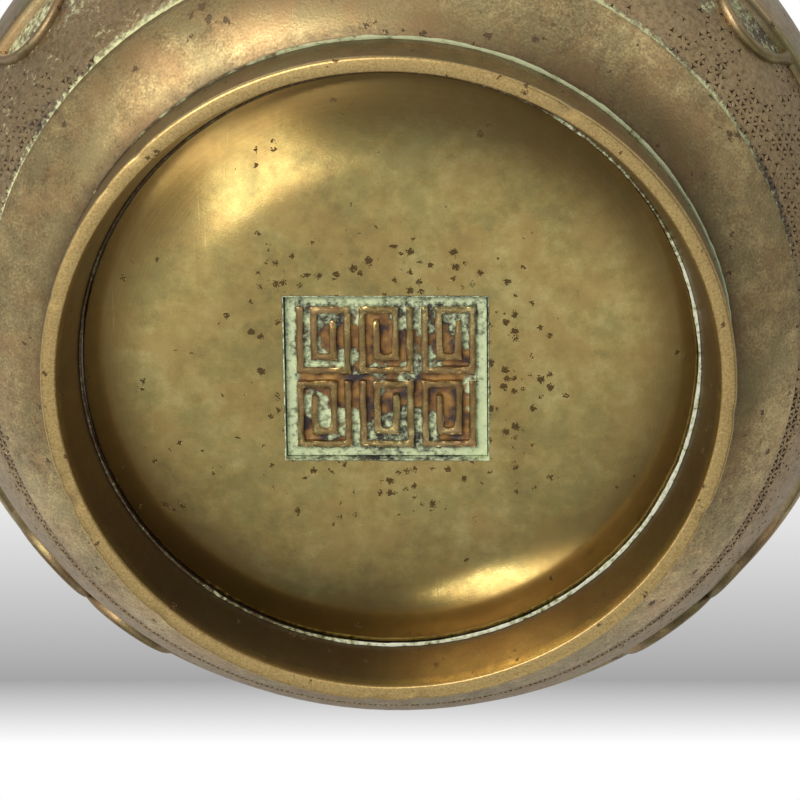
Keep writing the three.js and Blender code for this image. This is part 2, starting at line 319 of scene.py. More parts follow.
def add_node(tree: bpy.types.NodeTree, kind: str, settings: dict) -> bpy.types.NodeSocket:
    """Adds a shader node.

    Args:
        tree: node tree that it goes into.
        kind: node type without its "ShaderNode".
        settings: properties by name, input values or links by socket name or number, and a ramp's stops.

    Returns:
        The node's first usable output, or its first input if it has no output.
    """
    node = tree.nodes.new("ShaderNode" + kind)
    for key, value in settings.items():
        if key == "ramp":
            stops = node.color_ramp.elements
            while len(stops) < len(value):
                stops.new(0.5)
            for stop, (place, colour) in zip(stops, value):
                stop.position = place
                stop.color = linear(colour)
        elif isinstance(key, str) and hasattr(node, key):
            setattr(node, key, value)
        else:
            named = [s for s in node.inputs if s.enabled and s.name == key]
            socket = node.inputs[key] if isinstance(key, int) else named[0]
            if isinstance(value, bpy.types.NodeSocket):
                tree.links.new(value, socket)
            else:
                socket.default_value = value
    usable = [s for s in node.outputs if s.enabled]
    return usable[0] if usable else node.inputs[0]


class Skin:
    """One material while it is built up, from the bare metal to what lies on it."""

    def __init__(self, name: str) -> None:
        """Starts an empty material that reads the piece's Object coordinates."""
        self.material = bpy.data.materials.new(name)
        self.material.use_nodes = True
        self.tree = self.material.node_tree
        self.tree.nodes.clear()
        self.point = self.add("TexCoord", {}).node.outputs["Object"]
        self.colour = self.point
        self.metal: bpy.types.NodeSocket | float = 1.0
        self.rough: bpy.types.NodeSocket | float = 0.4
        self.height: bpy.types.NodeSocket | float = 0.0

    def add(self, kind: str, settings: dict) -> bpy.types.NodeSocket:
        """Adds a node to this material."""
        return add_node(self.tree, kind, settings)

    def at(self, size: float) -> dict:
        """Settings of a pattern on this piece whose features measure a size in millimetres."""
        return {"Vector": self.point, "Scale": per_mm(size)}

    def radius(self) -> bpy.types.NodeSocket:
        """Distance from the vessel's axis, in millimetres."""
        flat = self.add("VectorMath", {"operation": "MULTIPLY", 0: self.point, 1: FLAT_MM})
        return self.add("VectorMath", {"operation": "LENGTH", 0: flat}).node.outputs["Value"]

    def height_mm(self) -> bpy.types.NodeSocket:
        """Height above the standing face, in millimetres."""
        z = self.add("SeparateXYZ", {0: self.point}).node.outputs["Z"]
        return self.add("Math", {"operation": "MULTIPLY", 0: z, 1: 1 / MM})

    def lay(
        self,
        mask: bpy.types.NodeSocket,
        colour: str | bpy.types.NodeSocket,
        metal: float,
        rough: float,
        height: float = 0.0,
    ) -> None:
        """Lays a layer over what is there.

        Args:
            mask: where it lies, from 0 to 1.
            colour: its hex colour, or a socket with it.
            metal: how metallic it is.
            rough: its roughness.
            height: how far it stands proud, in millimetres.
        """
        top = linear(colour) if isinstance(colour, str) else colour
        self.colour = self.add("Mix", {"data_type": "RGBA", 0: mask, 6: self.colour, 7: top})
        self.metal = self.add("Mix", {"data_type": "FLOAT", 0: mask, 2: self.metal, 3: metal})
        self.rough = self.add("Mix", {"data_type": "FLOAT", 0: mask, 2: self.rough, 3: rough})
        if height:
            self.height = self.add("Math", {"operation": "MULTIPLY_ADD", 0: mask, 1: height, 2: self.height})

    def done(self) -> bpy.types.Material:
        """Joins the layers in one shader and returns the material."""
        bump = self.add("Bump", {"Strength": 1.0, "Distance": MM, "Height": self.height})
        shader = self.add(
            "BsdfPrincipled",
            {"Base Color": self.colour, "Metallic": self.metal, "Roughness": self.rough, "Normal": bump},
        )
        self.add("OutputMaterial", {"Surface": shader})
        return self.material


@dataclass(frozen=True)
class CastBronze:
    """Cast bronze that has been turned, rubbed and left to tarnish.

    It shows broad warm and olive patches, a finer mottling, and a grain that breaks up its highlights.
    """

    name: str
    bright: str = "BBA878"
    body: str = "9C8860"
    dull: str = "77684A"
    warm: str = "A0805A"
    olive: str = "8C8558"
    smooth: float = 0.3
    coarse: float = 0.46
    patch_mm: float = 17.0
    mottle_mm: float = 2.2
    grain_mm: float = 0.3
    grain_height: float = 0.016
    grain_tone: float = 0.6
    mottle_tone: float = 0.75
    contrast: float = 0.3
    tint: float = 0.55
    speck_mm: float = 1.3
    cluster_pull: float = 1.4
    crumb_pull: float = 1.3
    scratch_mm: tuple[float, float, float] = (0.3, 14, 3)

    def start(self) -> Skin:
        """Builds the bare metal.

        Returns:
            A skin with colour, roughness and relief of the metal alone.
        """
        skin = Skin(self.name)
        patch, mottle, grain = (
            skin.add("TexNoise", {**skin.at(size), "Detail": detail, "Roughness": rough})
            for size, detail, rough in (
                (self.patch_mm, 6.0, 0.62),
                (self.mottle_mm, 5.0, 0.62),
                (self.grain_mm, 2.0, 0.6),
            )
        )
        broad = skin.add("Math", {"operation": "MULTIPLY_ADD", 0: mottle, 1: self.mottle_tone, 2: patch})
        blend = skin.add("Math", {"operation": "MULTIPLY_ADD", 0: grain, 1: self.grain_tone, 2: broad})
        middle = (1 + self.mottle_tone + self.grain_tone) / 2
        span = {"From Min": middle - self.contrast, "From Max": middle + self.contrast}
        tone = skin.add("MapRange", {"Value": blend, **span})
        shades = [(0.0, self.dull), (0.52, self.body), (1.0, self.bright)]
        skin.colour = skin.add("ValToRGB", {"Fac": tone, "ramp": shades})
        drift = {**skin.at(self.patch_mm * 0.6), "Detail": 7.0, "Roughness": 0.68}
        hue = skin.add("TexNoise", {"noise_dimensions": "4D", "W": 4.0, **drift})
        for tint, low, high in ((self.warm, 0.49, 0.6), (self.olive, 0.5, 0.4)):
            limits = {"From Min": low, "From Max": high, "To Max": self.tint}
            share = skin.add("MapRange", {"Value": hue, **limits})
            skin.colour = skin.add("Mix", {"data_type": "RGBA", 0: share, 6: skin.colour, 7: linear(tint)})
        finish = {"To Min": self.coarse, "To Max": self.smooth}
        skin.rough = skin.add("MapRange", {"Value": tone, "From Min": 0.1, "From Max": 0.9, **finish})
        skin.height = skin.add("Math", {"operation": "MULTIPLY", 0: grain, 1: self.grain_height})
        return skin

    def speckle(
        self, skin: Skin, colour: str, rarity: float, where: bpy.types.NodeSocket | float = 0.0
    ) -> None:
        """Adds small ragged corrosion pits in loose clusters.

        Args:
            skin: the material so far.
            colour: colour of the pits.
            rarity: how rare they are; past 1 they are found only in clusters.
            where: raises their number in a region.
        """
        cluster = skin.add("TexNoise", {**skin.at(self.speck_mm * 4), "Detail": 1.0})
        crumb = skin.add("TexNoise", {**skin.at(self.speck_mm / 4), "Detail": 2.0, "Roughness": 0.6})
        reach = skin.add("TexVoronoi", skin.at(self.speck_mm))
        chance = skin.add("SeparateColor", {0: reach.node.outputs["Color"]})
        chosen = skin.add("Math", {"operation": "MULTIPLY_ADD", 0: cluster, 1: self.cluster_pull, 2: chance})
        chosen = skin.add("Math", {"operation": "ADD", 0: chosen, 1: where})
        limit = rarity + self.cluster_pull / 2
        chosen = skin.add("Math", {"operation": "GREATER_THAN", 0: chosen, 1: limit})
        wide = skin.add("MapRange", {"Value": chance.node.outputs["Green"], "To Min": 0.2, "To Max": 0.5})
        reach = skin.add("Math", {"operation": "MULTIPLY_ADD", 0: crumb, 1: self.crumb_pull, 2: reach})
        depth = skin.add("Math", {"operation": "SUBTRACT", 0: wide, 1: reach})
        mask = skin.add("MapRange", {"Value": depth, "From Min": -0.66, "From Max": -0.56})
        mask = skin.add("Math", {"operation": "MULTIPLY", 0: mask, 1: chosen})
        skin.lay(mask, colour, 0.85, 0.5, -0.1)

    def scratch(self, skin: Skin, turn: float, strength: float) -> None:
        """Adds fine straight handling scratches along one direction.

        Real ones are hair-thin and would not show, so they are drawn wider.

        Args:
            skin: the material so far.
            turn: direction about the vessel's axis, in degrees.
            strength: how clearly they show, from 0 to 1.
        """
        scale = tuple(per_mm(size) for size in self.scratch_mm)
        tilt = (0.15, 0.1, math.radians(turn))
        across = skin.add("Mapping", {"Vector": skin.point, "Rotation": tilt, "Scale": scale})
        lines = skin.add("TexNoise", {"Vector": across, "Scale": 1.0, "Detail": 1.0})
        mask = skin.add("MapRange", {"Value": lines, "From Min": 0.7, "From Max": 0.78, "To Max": strength})
        skin.lay(mask, self.bright, 1.0, self.smooth, -0.01)

    def material(self) -> bpy.types.Material:
        """Material of the metal with specks and scratches."""
        skin = self.start()
        self.speckle(skin, "5E4E38", 1.05)
        self.scratch(skin, 24, 0.3)
        return skin.done()


@dataclass(frozen=True)
class Crust:
    """Copper corrosion in crevices: chalky pale green over a dark layer, both matt."""

    green: str = "AEB27C"
    pale: str = "DAD8AC"
    dark: str = "51463A"
    clump_mm: float = 0.8
    drift_clumps: float = 9.0
    pull: float = 0.75

    def grow(self, skin: Skin, where: bpy.types.NodeSocket, amount: float = 1.0) -> None:
        """Lets crust grow in a region.

        Args:
            skin: the material so far.
            where: how likely crust is, from 0 to 1.
            amount: how much of a sure place it fills.
        """
        clump = skin.add("TexNoise", {**skin.at(self.clump_mm), "Detail": 4.0, "Roughness": 0.7})
        drift = skin.add("TexNoise", {**skin.at(self.clump_mm * self.drift_clumps), "Detail": 2.0})
        likely = skin.add("Math", {"operation": "MULTIPLY_ADD", 0: drift, 1: 0.5, 2: clump})
        pull = self.pull * amount
        dark = skin.add("Math", {"operation": "MULTIPLY_ADD", 0: where, 1: pull, 2: likely})
        dark = skin.add("MapRange", {"Value": dark, "From Min": 1.05, "From Max": 1.3})
        skin.lay(dark, self.dark, 0.3, 0.7)
        chalk = skin.add("Math", {"operation": "MULTIPLY_ADD", 0: where, 1: pull, 2: clump})
        chalk = skin.add("Math", {"operation": "MULTIPLY_ADD", 0: drift, 1: -0.45, 2: chalk})
        chalk = skin.add("MapRange", {"Value": chalk, "From Min": 0.72, "From Max": 0.95})
        tint = skin.add("Mix", {"data_type": "RGBA", 0: clump, 6: linear(self.green), 7: linear(self.pale)})
        skin.lay(chalk, tint, 0.0, 0.85, 0.05)


CRUST = Crust()
MINT = Crust(green="A6BA8C", pale="D9E0BC", dark="332D2E", clump_mm=1.0)


@dataclass(frozen=True)
class BowlBronze(CastBronze):
    """Bronze of the bowl's outside, dull brown-gold, with painted shade in the punched hollows and crust
    where its maps say so.
    """

    name: str = "cast_bronze_brown"
    smooth: float = 0.22
    coarse: float = 0.4
    grain_mm: float = 0.38
    grain_tone: float = 0.9
    bright: str = "C0AB79"
    dull: str = "6F6044"
    olive: str = "8F845F"
    ground: tuple[str, str, str] = ("77654A", "9C8667", "AE9873")
    ground_mm: float = 0.9
    ground_height: float = 0.14
    # Painted shade on the band next to the seam with the foot.
    seam_shade: str = "43352A"
    # Painted shade in the punched hollows.
    hollow_shade: str = "463A30"

    def material(self) -> bpy.types.Material:
        """Material that reads the bowl's own "hollow" and "crust" maps."""
        skin = self.start()
        self.speckle(skin, "66563F", 1.04)
        self.scratch(skin, 24, 0.2)
        z = skin.height_mm()
        start = {"From Min": BAND_TOP + 0.1, "From Max": BAND_TOP + 0.9}
        ground = skin.add("MapRange", {"Value": z, "To Max": 0.7, **start})
        lumps = skin.add("TexNoise", {**skin.at(self.ground_mm), "Detail": 4.0, "Roughness": 0.7})
        tone = skin.add("ValToRGB", {"Fac": lumps, "ramp": list(zip((0.36, 0.5, 0.66), self.ground))})
        skin.lay(ground, tone, 1.0, 0.47)
        lumps = skin.add("Math", {"operation": "MULTIPLY", 0: lumps, 1: ground})
        rise = {0: lumps, 1: self.ground_height, 2: skin.height}
        skin.height = skin.add("Math", {"operation": "MULTIPLY_ADD", **rise})
        # Painted shade: the band darkens just above the seam with the foot ring, where shade falls between
        # the parts.
        start = {"From Min": FOOT.height + 1.7, "From Max": FOOT.height + 0.1}
        seam_shade = skin.add("MapRange", {"Value": z, "To Max": 0.75, **start})
        skin.lay(seam_shade, self.seam_shade, 0.8, 0.55)
        # Painted shade: each punched hollow is darkened by its own "hollow" map, where shade falls inside it.
        hollow = skin.add("Attribute", {"attribute_name": "hollow"}).node.outputs["Fac"]
        hollow = skin.add("MapRange", {"Value": hollow, "From Min": 0.06, "From Max": 0.4})
        skin.lay(hollow, self.hollow_shade, 0.5, 0.6)
        crust = skin.add("Attribute", {"attribute_name": "crust"}).node.outputs["Fac"]
        CRUST.grow(skin, crust)
        return skin.done()


@dataclass(frozen=True)
class InsideBronze(CastBronze):
    """Unpolished bronze inside the bowl, browned by heat and ash."""

    name: str = "cast_bronze_inside"
    bright: str = "8A7852"
    body: str = "665638"
    dull: str = "3E3323"
    warm: str = "6E5338"
    olive: str = "605A38"
    smooth: float = 0.42
    coarse: float = 0.62


@dataclass(frozen=True)
class FootBronze(CastBronze):
    """Bronze of the foot, rubbed pale gold on its standing face by use, with painted shade darkening the
    inner wall of its bore.
    """

    name: str = "cast_bronze_foot"
    # Painted shade: darker brown laid on the bore's inner wall.
    wall: str = "675B4B"
    rubbed: tuple[str, str, str] = ("9A7F50", "B89E68", "CDB47E")
    # Painted shade towards the seams with the disc and the bowl.
    seam_shade: str = "3E3228"
    sand_mm: float = 0.32
    bright: str = "BCA87C"
    body: str = "97845F"
    dull: str = "6E5F42"
    warm: str = "98795A"
    smooth: float = 0.26
    coarse: float = 0.4

    def material(self) -> bpy.types.Material:
        """Material with a rubbed standing face, the bore's inner wall painted darker brown as shade, and
        painted shade towards the seams.
        """
        skin = self.start()
        self.scratch(skin, 70, 0.4)
        z = skin.height_mm()
        sand = skin.add("TexNoise", {**skin.at(self.sand_mm), "Detail": 4.0, "Roughness": 0.75})
        gold = skin.add("ValToRGB", {"Fac": sand, "ramp": list(zip((0.32, 0.5, 0.68), self.rubbed))})
        # Painted shade inside the bore: only the inner wall, above the standing face, is painted darker.
        wall = skin.add("MapRange", {"Value": z, "From Min": 0.6, "From Max": 2.0, "To Max": 0.75})
        start = {"From Min": FOOT.face_inner + 0.4, "From Max": FOOT.face_inner}
        inner = skin.add("MapRange", {"Value": skin.radius(), **start})
        skin.lay(skin.add("Math", {"operation": "MULTIPLY", 0: wall, 1: inner}), self.wall, 1.0, 0.36)
        rubbed = skin.add("MapRange", {"Value": z, "From Min": 0.6, "From Max": 0.25})
        skin.lay(rubbed, gold, 1.0, 0.42)
        self.speckle(skin, "6A5436", 1.03)
        # Painted shade: the walls darken towards the top of the ring, where it meets the disc and the bowl.
        seam_shade = skin.add("MapRange", {"Value": z, "From Min": 7.2, "From Max": 9.2, "To Max": 0.7})
        skin.lay(seam_shade, self.seam_shade, 0.7, 0.55)
        return skin.done()


@dataclass(frozen=True)
class DiscBronze(CastBronze):
    """Turned bronze of the base disc: olive gold with circular turning marks and corrosion pits.

    Real turning marks are too fine to show, so they are drawn wider apart.
    """

    name: str = "turned_bronze_olive"
    bright: str = "C4B276"
    body: str = "A9955B"
    dull: str = "82734A"
    warm: str = "AA8E58"
    olive: str = "948B58"
    rim: str = "937544"
    smooth: float = 0.1
    coarse: float = 0.18
    patch_mm: float = 13.0
    grain_mm: float = 0.24
    grain_height: float = 0.004
    grain_tone: float = 0.3
    speck_mm: float = 1.2
    turning_mm: float = 0.22
    recess_edge: float = 0.1

    def material(self) -> bpy.types.Material:
        """Material with turning marks towards the edge and pits about the panel."""
        skin = self.start()
        radius = skin.radius()
        along = skin.add("Math", {"operation": "MULTIPLY", 0: radius, 1: 1 / self.turning_mm})
        marks = skin.add("TexNoise", {"noise_dimensions": "1D", "W": along, "Scale": 1.0, "Detail": 2.0})
        edge = skin.add("MapRange", {"Value": radius, "From Min": 35.0, "From Max": 40.0, "To Max": 0.65})
        skin.lay(edge, self.rim, 1.0, self.coarse + 0.04)
        lines = skin.add("MapRange", {"Value": marks, "From Min": 0.45, "From Max": 0.8, "To Max": 0.15})
        outward = skin.add("MapRange", {"Value": radius, "From Min": 26.0, "From Max": 41.0, "To Min": 0.05})
        lines = skin.add("Math", {"operation": "MULTIPLY", 0: lines, 1: outward})
        skin.lay(lines, self.bright, 1.0, self.coarse + 0.08)
        self.scratch(skin, 40, 0.14)
        near = skin.add("MapRange", {"Value": radius, "From Min": 28.0, "From Max": 17.0, "To Max": 0.5})
        self.speckle(skin, "5C4A2C", 1.13, near)
        start = {"From Min": -0.25 - self.recess_edge, "From Max": -self.recess_edge}
        recess = skin.add("MapRange", {"Value": PANEL.inside(skin), "To Max": 0.8, **start})
        MINT.grow(skin, recess)
        return skin.done()


@dataclass(frozen=True)
class PanelBronze(CastBronze):
    """Cast relief in the sunk panel: rubbed strokes over a yellow-brown ground, with pale green crust."""

    name: str = "cast_bronze_panel"
    bright: str = "CDBD85"
    body: str = "977F50"
    dull: str = "6A5638"
    smooth: float = 0.2
    coarse: float = 0.36
    ground: tuple[str, str, str] = ("3C3234", "74522E", "A07A42")
    ground_mm: float = 2.2
    ground_z: float = 6.9
    crest_z: float = 6.1
    cloud_mm: float = 6.5

    def material(self) -> bpy.types.Material:
        """Material that goes from ground to crest by height, and greener towards the panel's edge."""
        skin = self.start()
        z = skin.height_mm()
        cuprite = skin.add("TexNoise", {**skin.at(self.ground_mm), "Detail": 4.0})
        ground = skin.add("ValToRGB", {"Fac": cuprite, "ramp": list(zip((0.38, 0.47, 0.62), self.ground))})
        flank = {"From Min": self.crest_z + 0.25, "From Max": self.ground_z - 0.15}
        skin.lay(skin.add("MapRange", {"Value": z, **flank}), ground, 0.35, 0.55)
        edge = PANEL.inside(skin)
        border = skin.add("MapRange", {"Value": edge, "From Min": 3.4, "From Max": 1.2, "To Max": 0.85})
        cloud = skin.add("TexNoise", {**skin.at(self.cloud_mm), "Detail": 2.0})
        share = {"From Min": 0.44, "From Max": 0.54, "To Min": 0.2, "To Max": 0.7}
        cloud = skin.add("MapRange", {"Value": cloud, **share})
        border = skin.add("Math", {"operation": "MAXIMUM", 0: border, 1: cloud})
        top = {"From Min": self.crest_z + 0.3, "From Max": self.crest_z + 0.12}
        crest = skin.add("MapRange", {"Value": z, **top})
        where = skin.add("Math", {"operation": "MULTIPLY_ADD", 0: crest, 1: -0.7, 2: border})
        MINT.grow(skin, where, 1.1)
        return skin.done()


@dataclass(frozen=True)
class SolderSeam:
    """Old soft solder with lime and corrosion on it: pale, chalky, with dark gaps, and painted shade where
    its "pale" map is low.
    """

    name: str = "old_solder"
    body: str = "D3D6C6"
    # Dark gaps, and the painted shade on the bead's far side.
    dark: str = "5C4630"
    dull: str = "6B5F45"
    lime: str = "A2A982"
    clump_mm: float = 0.7
    clump_height: float = 0.08

    def material(self) -> bpy.types.Material:
        """Material broken up in light and dark clumps, paler where the bead's own "pale" map says so, and
        darker, as painted shade, where that map is low.
        """
        skin = Skin(self.name)
        clump = skin.add("TexNoise", {**skin.at(self.clump_mm), "Detail": 4.0, "Roughness": 0.7})
        pale = skin.add("Attribute", {"attribute_name": "pale"}).node.outputs["Fac"]
        blend = skin.add("Math", {"operation": "MULTIPLY_ADD", 0: pale, 1: 0.3, 2: clump})
        shades = [(0.44, self.dark), (0.57, self.dull), (0.7, self.lime), (0.84, self.body)]
        skin.colour = skin.add("ValToRGB", {"Fac": blend, "ramp": shades})
        bare = {"From Min": 0.58, "From Max": 0.74, "To Min": 0.85, "To Max": 0.0}
        skin.metal = skin.add("MapRange", {"Value": blend, **bare})
        skin.rough = 0.6
        skin.height = skin.add("Math", {"operation": "MULTIPLY", 0: clump, 1: self.clump_height})
        return skin.done()


# The vessel's pieces


def wobble(vert: bmesh.types.BMVert, size: float, reach: float, seed: float = 0.0) -> Vector:
    """Smooth random shift of a vertex.

    Args:
        vert: the vertex, in millimetres.
        size: size of the unevenness.
        reach: how far a point may move.
        seed: which of many patterns is used.

    Returns:
        The shift.
    """
    return noise.noise_vector(vert.co / size + Vector((seed, seed, seed))) * reach


@dataclass
class FootRing:
    """Foot ring with a worn standing face, nicked on its outer edge."""

    steps: int = 360
    face_outer: float = FOOT.radius - 0.05
    face_round: float = 0.45
    wall_rings: tuple[float, ...] = (0.9, 2.4, 4.2, 6.4, 8.0)
    seen_nicks: tuple[float, ...] = (152, 158.6, 163)
    other_nicks: int = 9
    nick_depth: tuple[float, float] = (0.1, 0.28)
    nick_width: tuple[float, float] = (0.7, 1.6)
    uneven: float = 0.07
    uneven_size: float = 9.0
    uneven_height: float = 2.0
    seed: int = 3

    def outline(self) -> Outline:
        """Outline of the ring's section."""
        outer = [(FOOT.wall_at(z), z) for z in self.wall_rings]
        inner = [(FOOT.bore_at(z), z) for z in reversed(self.wall_rings)]
        return [
            (FOOT.face_inner, 0.0),
            (self.face_outer, 0.0),
            *outer,
            (FOOT.seam_radius, FOOT.height),
            (FOOT.bore_radius, FOOT.height),
            (FOOT.bore_radius, FOOT.seam_z),
            *inner,
        ]

    def build(self) -> bpy.types.Object:
        """Turns the ring, rounds its edges and wears it."""
        bm = turned(self.outline(), self.steps)
        round_ring(bm, self.face_outer, 0.0, self.face_round, 4)
        round_ring(bm, FOOT.face_inner, 0.0, self.face_round * 0.4, 3)
        self.wear(bm)
        return finished(bm, "foot_ring_bronze", [FootBronze().material()], ["foot_ring"])

    def wear(self, bm: bmesh.types.BMesh) -> None:
        """Makes the standing face uneven and knocks nicks in its outer edge."""
        chance = random.Random(self.seed)
        spots = [math.radians(a) for a in self.seen_nicks]
        spots += [chance.uniform(0, FULL_TURN) for _ in range(self.other_nicks)]
        places = [Vector((FOOT.radius * math.cos(a), FOOT.radius * math.sin(a), 0.0)) for a in spots]
        deep = [chance.uniform(*self.nick_depth) for _ in spots]
        wide = [chance.uniform(*self.nick_width) for _ in spots]
        for vert in bm.verts:
            near_face = max(0.0, 1 - vert.co.z / self.uneven_height)
            vert.co.z += near_face * self.uneven * (1 + noise.noise(vert.co / self.uneven_size))
            for place, depth, width in zip(places, deep, wide):
                gone = (vert.co - place).length / width
                if gone < 2:
                    inwards = Vector((-place.x, -place.y, 0)).normalized() + Vector((0, 0, 1))
                    vert.co += inwards * depth * math.exp(-gone * gone * 1.5)


@dataclass
class BaseDisc:
    """Domed disc let into the foot, with the sunk rectangular panel."""

    radius: float = 43.64
    crown: float = 3.2
    thickness: float = 2.8
    flat_radius: float = 20.0
    steepening: float = 2.8
    rings: int = 36
    steps: int = 192
    panel_depth: float = 1.9

    def face_z(self, radius: float) -> float:
        """Height of the lower face at a radius: level in the middle, then steeper and steeper to its seat."""
        past = max(0.0, radius - self.flat_radius) / (self.radius - self.flat_radius)
        return FOOT.seam_z - self.crown * (1 - past**self.steepening)

    def outline(self) -> Outline:
        """Outline from the lower face's middle, round the edge, to the upper face's middle."""
        turns = [math.sin(i / self.rings * math.pi / 2) for i in range(self.rings + 1)]
        lower = [(self.radius * s, self.face_z(self.radius * s)) for s in turns]
        upper = [(r, z + self.thickness) for r, z in reversed(lower)]
        return lower + upper

    def build(self) -> bpy.types.Object:
        """Turns the disc and sinks the panel; its upper face is left as cast."""
        bm = turned(self.outline(), self.steps, closed=False)
        for face in bm.faces:
            face.material_index = int(face.normal.z > FACING)
        self.sink_panel(bm)
        bronzes = [DiscBronze().material(), InsideBronze("cast_bronze_disc_inside").material()]
        return finished(bm, "base_disc_bronze", bronzes, ["base_disc"])

    def sink_panel(self, bm: bmesh.types.BMesh) -> None:
        """Cuts the panel's outline in the lower face and pushes the faces inside it up."""
        half = Vector((PANEL.width / 2, PANEL.length / 2, 0))
        middle = Vector((PANEL.x, PANEL.y, 0))

        def lower_faces() -> list[bmesh.types.BMFace]:
            return [f for f in bm.faces if f.normal.z < -FACING]

        for axis in (0, 1):
            for side in (-1, 1):
                normal = Vector((0, 0, 0))
                normal[axis] = side
                point = middle + Vector((half.x * side * (axis == 0), half.y * side * (axis == 1), 0))
                faces = lower_faces()
                sides = [part for f in faces for part in (*f.edges, *f.verts)]
                parts = list(dict.fromkeys([*faces, *sides]))
                bmesh.ops.bisect_plane(bm, geom=parts, dist=MERGE, plane_co=point, plane_no=normal)
        inside = [
            f
            for f in lower_faces()
            if abs(f.calc_center_median().x - middle.x) < half.x
            and abs(f.calc_center_median().y - middle.y) < half.y
        ]
        floor = FOOT.seam_z - self.crown + self.panel_depth
        made = bmesh.ops.extrude_face_region(bm, geom=inside)["geom"]
        bmesh.ops.delete(bm, geom=inside, context="FACES")
        for vert in (v for v in made if isinstance(v, bmesh.types.BMVert)):
            vert.co.z = floor
        bmesh.ops.recalc_face_normals(bm, faces=bm.faces[:])


@dataclass
class PanelTile:
    """Sunk panel's relief: rows of squared spirals on a plate."""

    width: float = 28.4
    length: float = 24.5
    thickness: float = 0.5
    margin: float = 1.5
    gap: float = 1.1
    stroke: float = 1.0
    height: float = 0.8
    columns: int = 3
    rows: int = 2
    face_z: float = 6.9
    edge_limits: tuple[float, ...] = (0.8, 0.4)
    rim: float = 0.2
    unevenness: tuple[tuple[float, float], ...] = ((1.6, 0.16), (0.6, 0.05))

    @property
    def cell(self) -> tuple[float, float]:
        """Width and length of one spiral."""
        width = (self.width - 2 * self.margin - (self.columns - 1) * self.gap) / self.columns
        length = (self.length - 2 * self.margin - (self.rows - 1) * self.gap) / self.rows
        return width, length

    def spiral(self) -> list[tuple[float, float, float, float]]:
        """Strokes of one spiral about the origin, each as lowest and highest x and y."""
        a = (self.cell[0] - self.stroke) / 2
        b = (self.cell[1] - self.stroke) / 2
        turn = 2 * self.stroke
        corners = [(-a, -b), (-a, b), (a, b), (a, -b), (turn - a, -b)]
        corners += [(turn - a, b - turn), (a - turn, b - turn), (a - turn, turn - b)]
        half = self.stroke / 2
        return [
            (min(x, u) - half, min(y, v) - half, max(x, u) + half, max(y, v) + half)
            for (x, y), (u, v) in zip(corners, corners[1:])
        ]

    def strokes(self) -> list[tuple[float, float, float, float]]:
        """Strokes of all the spirals, every second one mirrored."""
        found = []
        for column in range(self.columns):
            for row in range(self.rows):
                x = (column - (self.columns - 1) / 2) * (self.cell[0] + self.gap)
                y = (row - (self.rows - 1) / 2) * (self.cell[1] + self.gap)
                for x0, y0, x1, y1 in self.spiral():
                    low, high = (-x1, -x0) if (column + row) % 2 else (x0, x1)
                    found.append((x + low, y + y0, x + high, y + y1))
        return found

    def build(self) -> bpy.types.Object:
        """Cuts the plate along the strokes' edges, raises them and softens them as cast."""
        bm = bmesh.new()
        bmesh.ops.create_cube(bm, size=1.0)
        bmesh.ops.scale(bm, vec=(self.width, self.length, self.thickness), verts=bm.verts[:])
        strokes = self.strokes()
        for axis, picks in ((0, (0, 2)), (1, (1, 3))):
            normal = Vector((axis == 0, axis == 1, 0))
            for place in sorted({round(s[i], 4) for s in strokes for i in picks}):
                bmesh.ops.bisect_plane(
                    bm, geom=bm.verts[:] + bm.edges[:] + bm.faces[:], dist=MERGE,
                    plane_co=normal * place, plane_no=normal,
                )

        def under_stroke(face: bmesh.types.BMFace) -> bool:
            c = face.calc_center_median()
            over = any(x0 < c.x < x1 and y0 < c.y < y1 for x0, y0, x1, y1 in strokes)
            return over and face.normal.z < -FACING

        raised = [f for f in bm.faces if under_stroke(f)]
        made = bmesh.ops.extrude_face_region(bm, geom=raised)["geom"]
        bmesh.ops.delete(bm, geom=raised, context="FACES")
        tops = [v for v in made if isinstance(v, bmesh.types.BMVert)]
        bmesh.ops.translate(bm, vec=(0, 0, -self.height), verts=tops)
        bmesh.ops.recalc_face_normals(bm, faces=bm.faces[:])
        self.soften(bm)
        middle = Vector((PANEL.x, PANEL.y, self.face_z + self.thickness / 2))
        bmesh.ops.translate(bm, vec=middle, verts=bm.verts[:])
        return finished(bm, "panel_relief", [PanelBronze().material()], ["panel_tile"])

    def soften(self, bm: bmesh.types.BMesh) -> None:
        """Rounds and wears the strokes, and leaves the plate's rim as it is."""
        for limit in self.edge_limits:
            long = [e for e in bm.edges if e.calc_length() > limit]
            bmesh.ops.subdivide_edges(bm, edges=long, cuts=1, use_grid_fill=True)
        bmesh.ops.triangulate(bm, faces=[f for f in bm.faces if len(f.verts) > 4])

        def within(vert: bmesh.types.BMVert) -> bool:
            sides = (abs(vert.co.x) - self.width / 2, abs(vert.co.y) - self.length / 2)
            return max(sides) < -self.rim and vert.co.z < 0

        moving = [v for v in bm.verts if within(v)]
        for _ in range(2):
            bmesh.ops.smooth_vert(
                bm, verts=moving, factor=0.5, use_axis_x=True, use_axis_y=True, use_axis_z=True
            )
        for vert in moving:
            vert.co += sum((wobble(vert, size, reach) for size, reach in self.unevenness), Vector())
            vert.co.z = max(vert.co.z, -self.thickness / 2 - self.height)


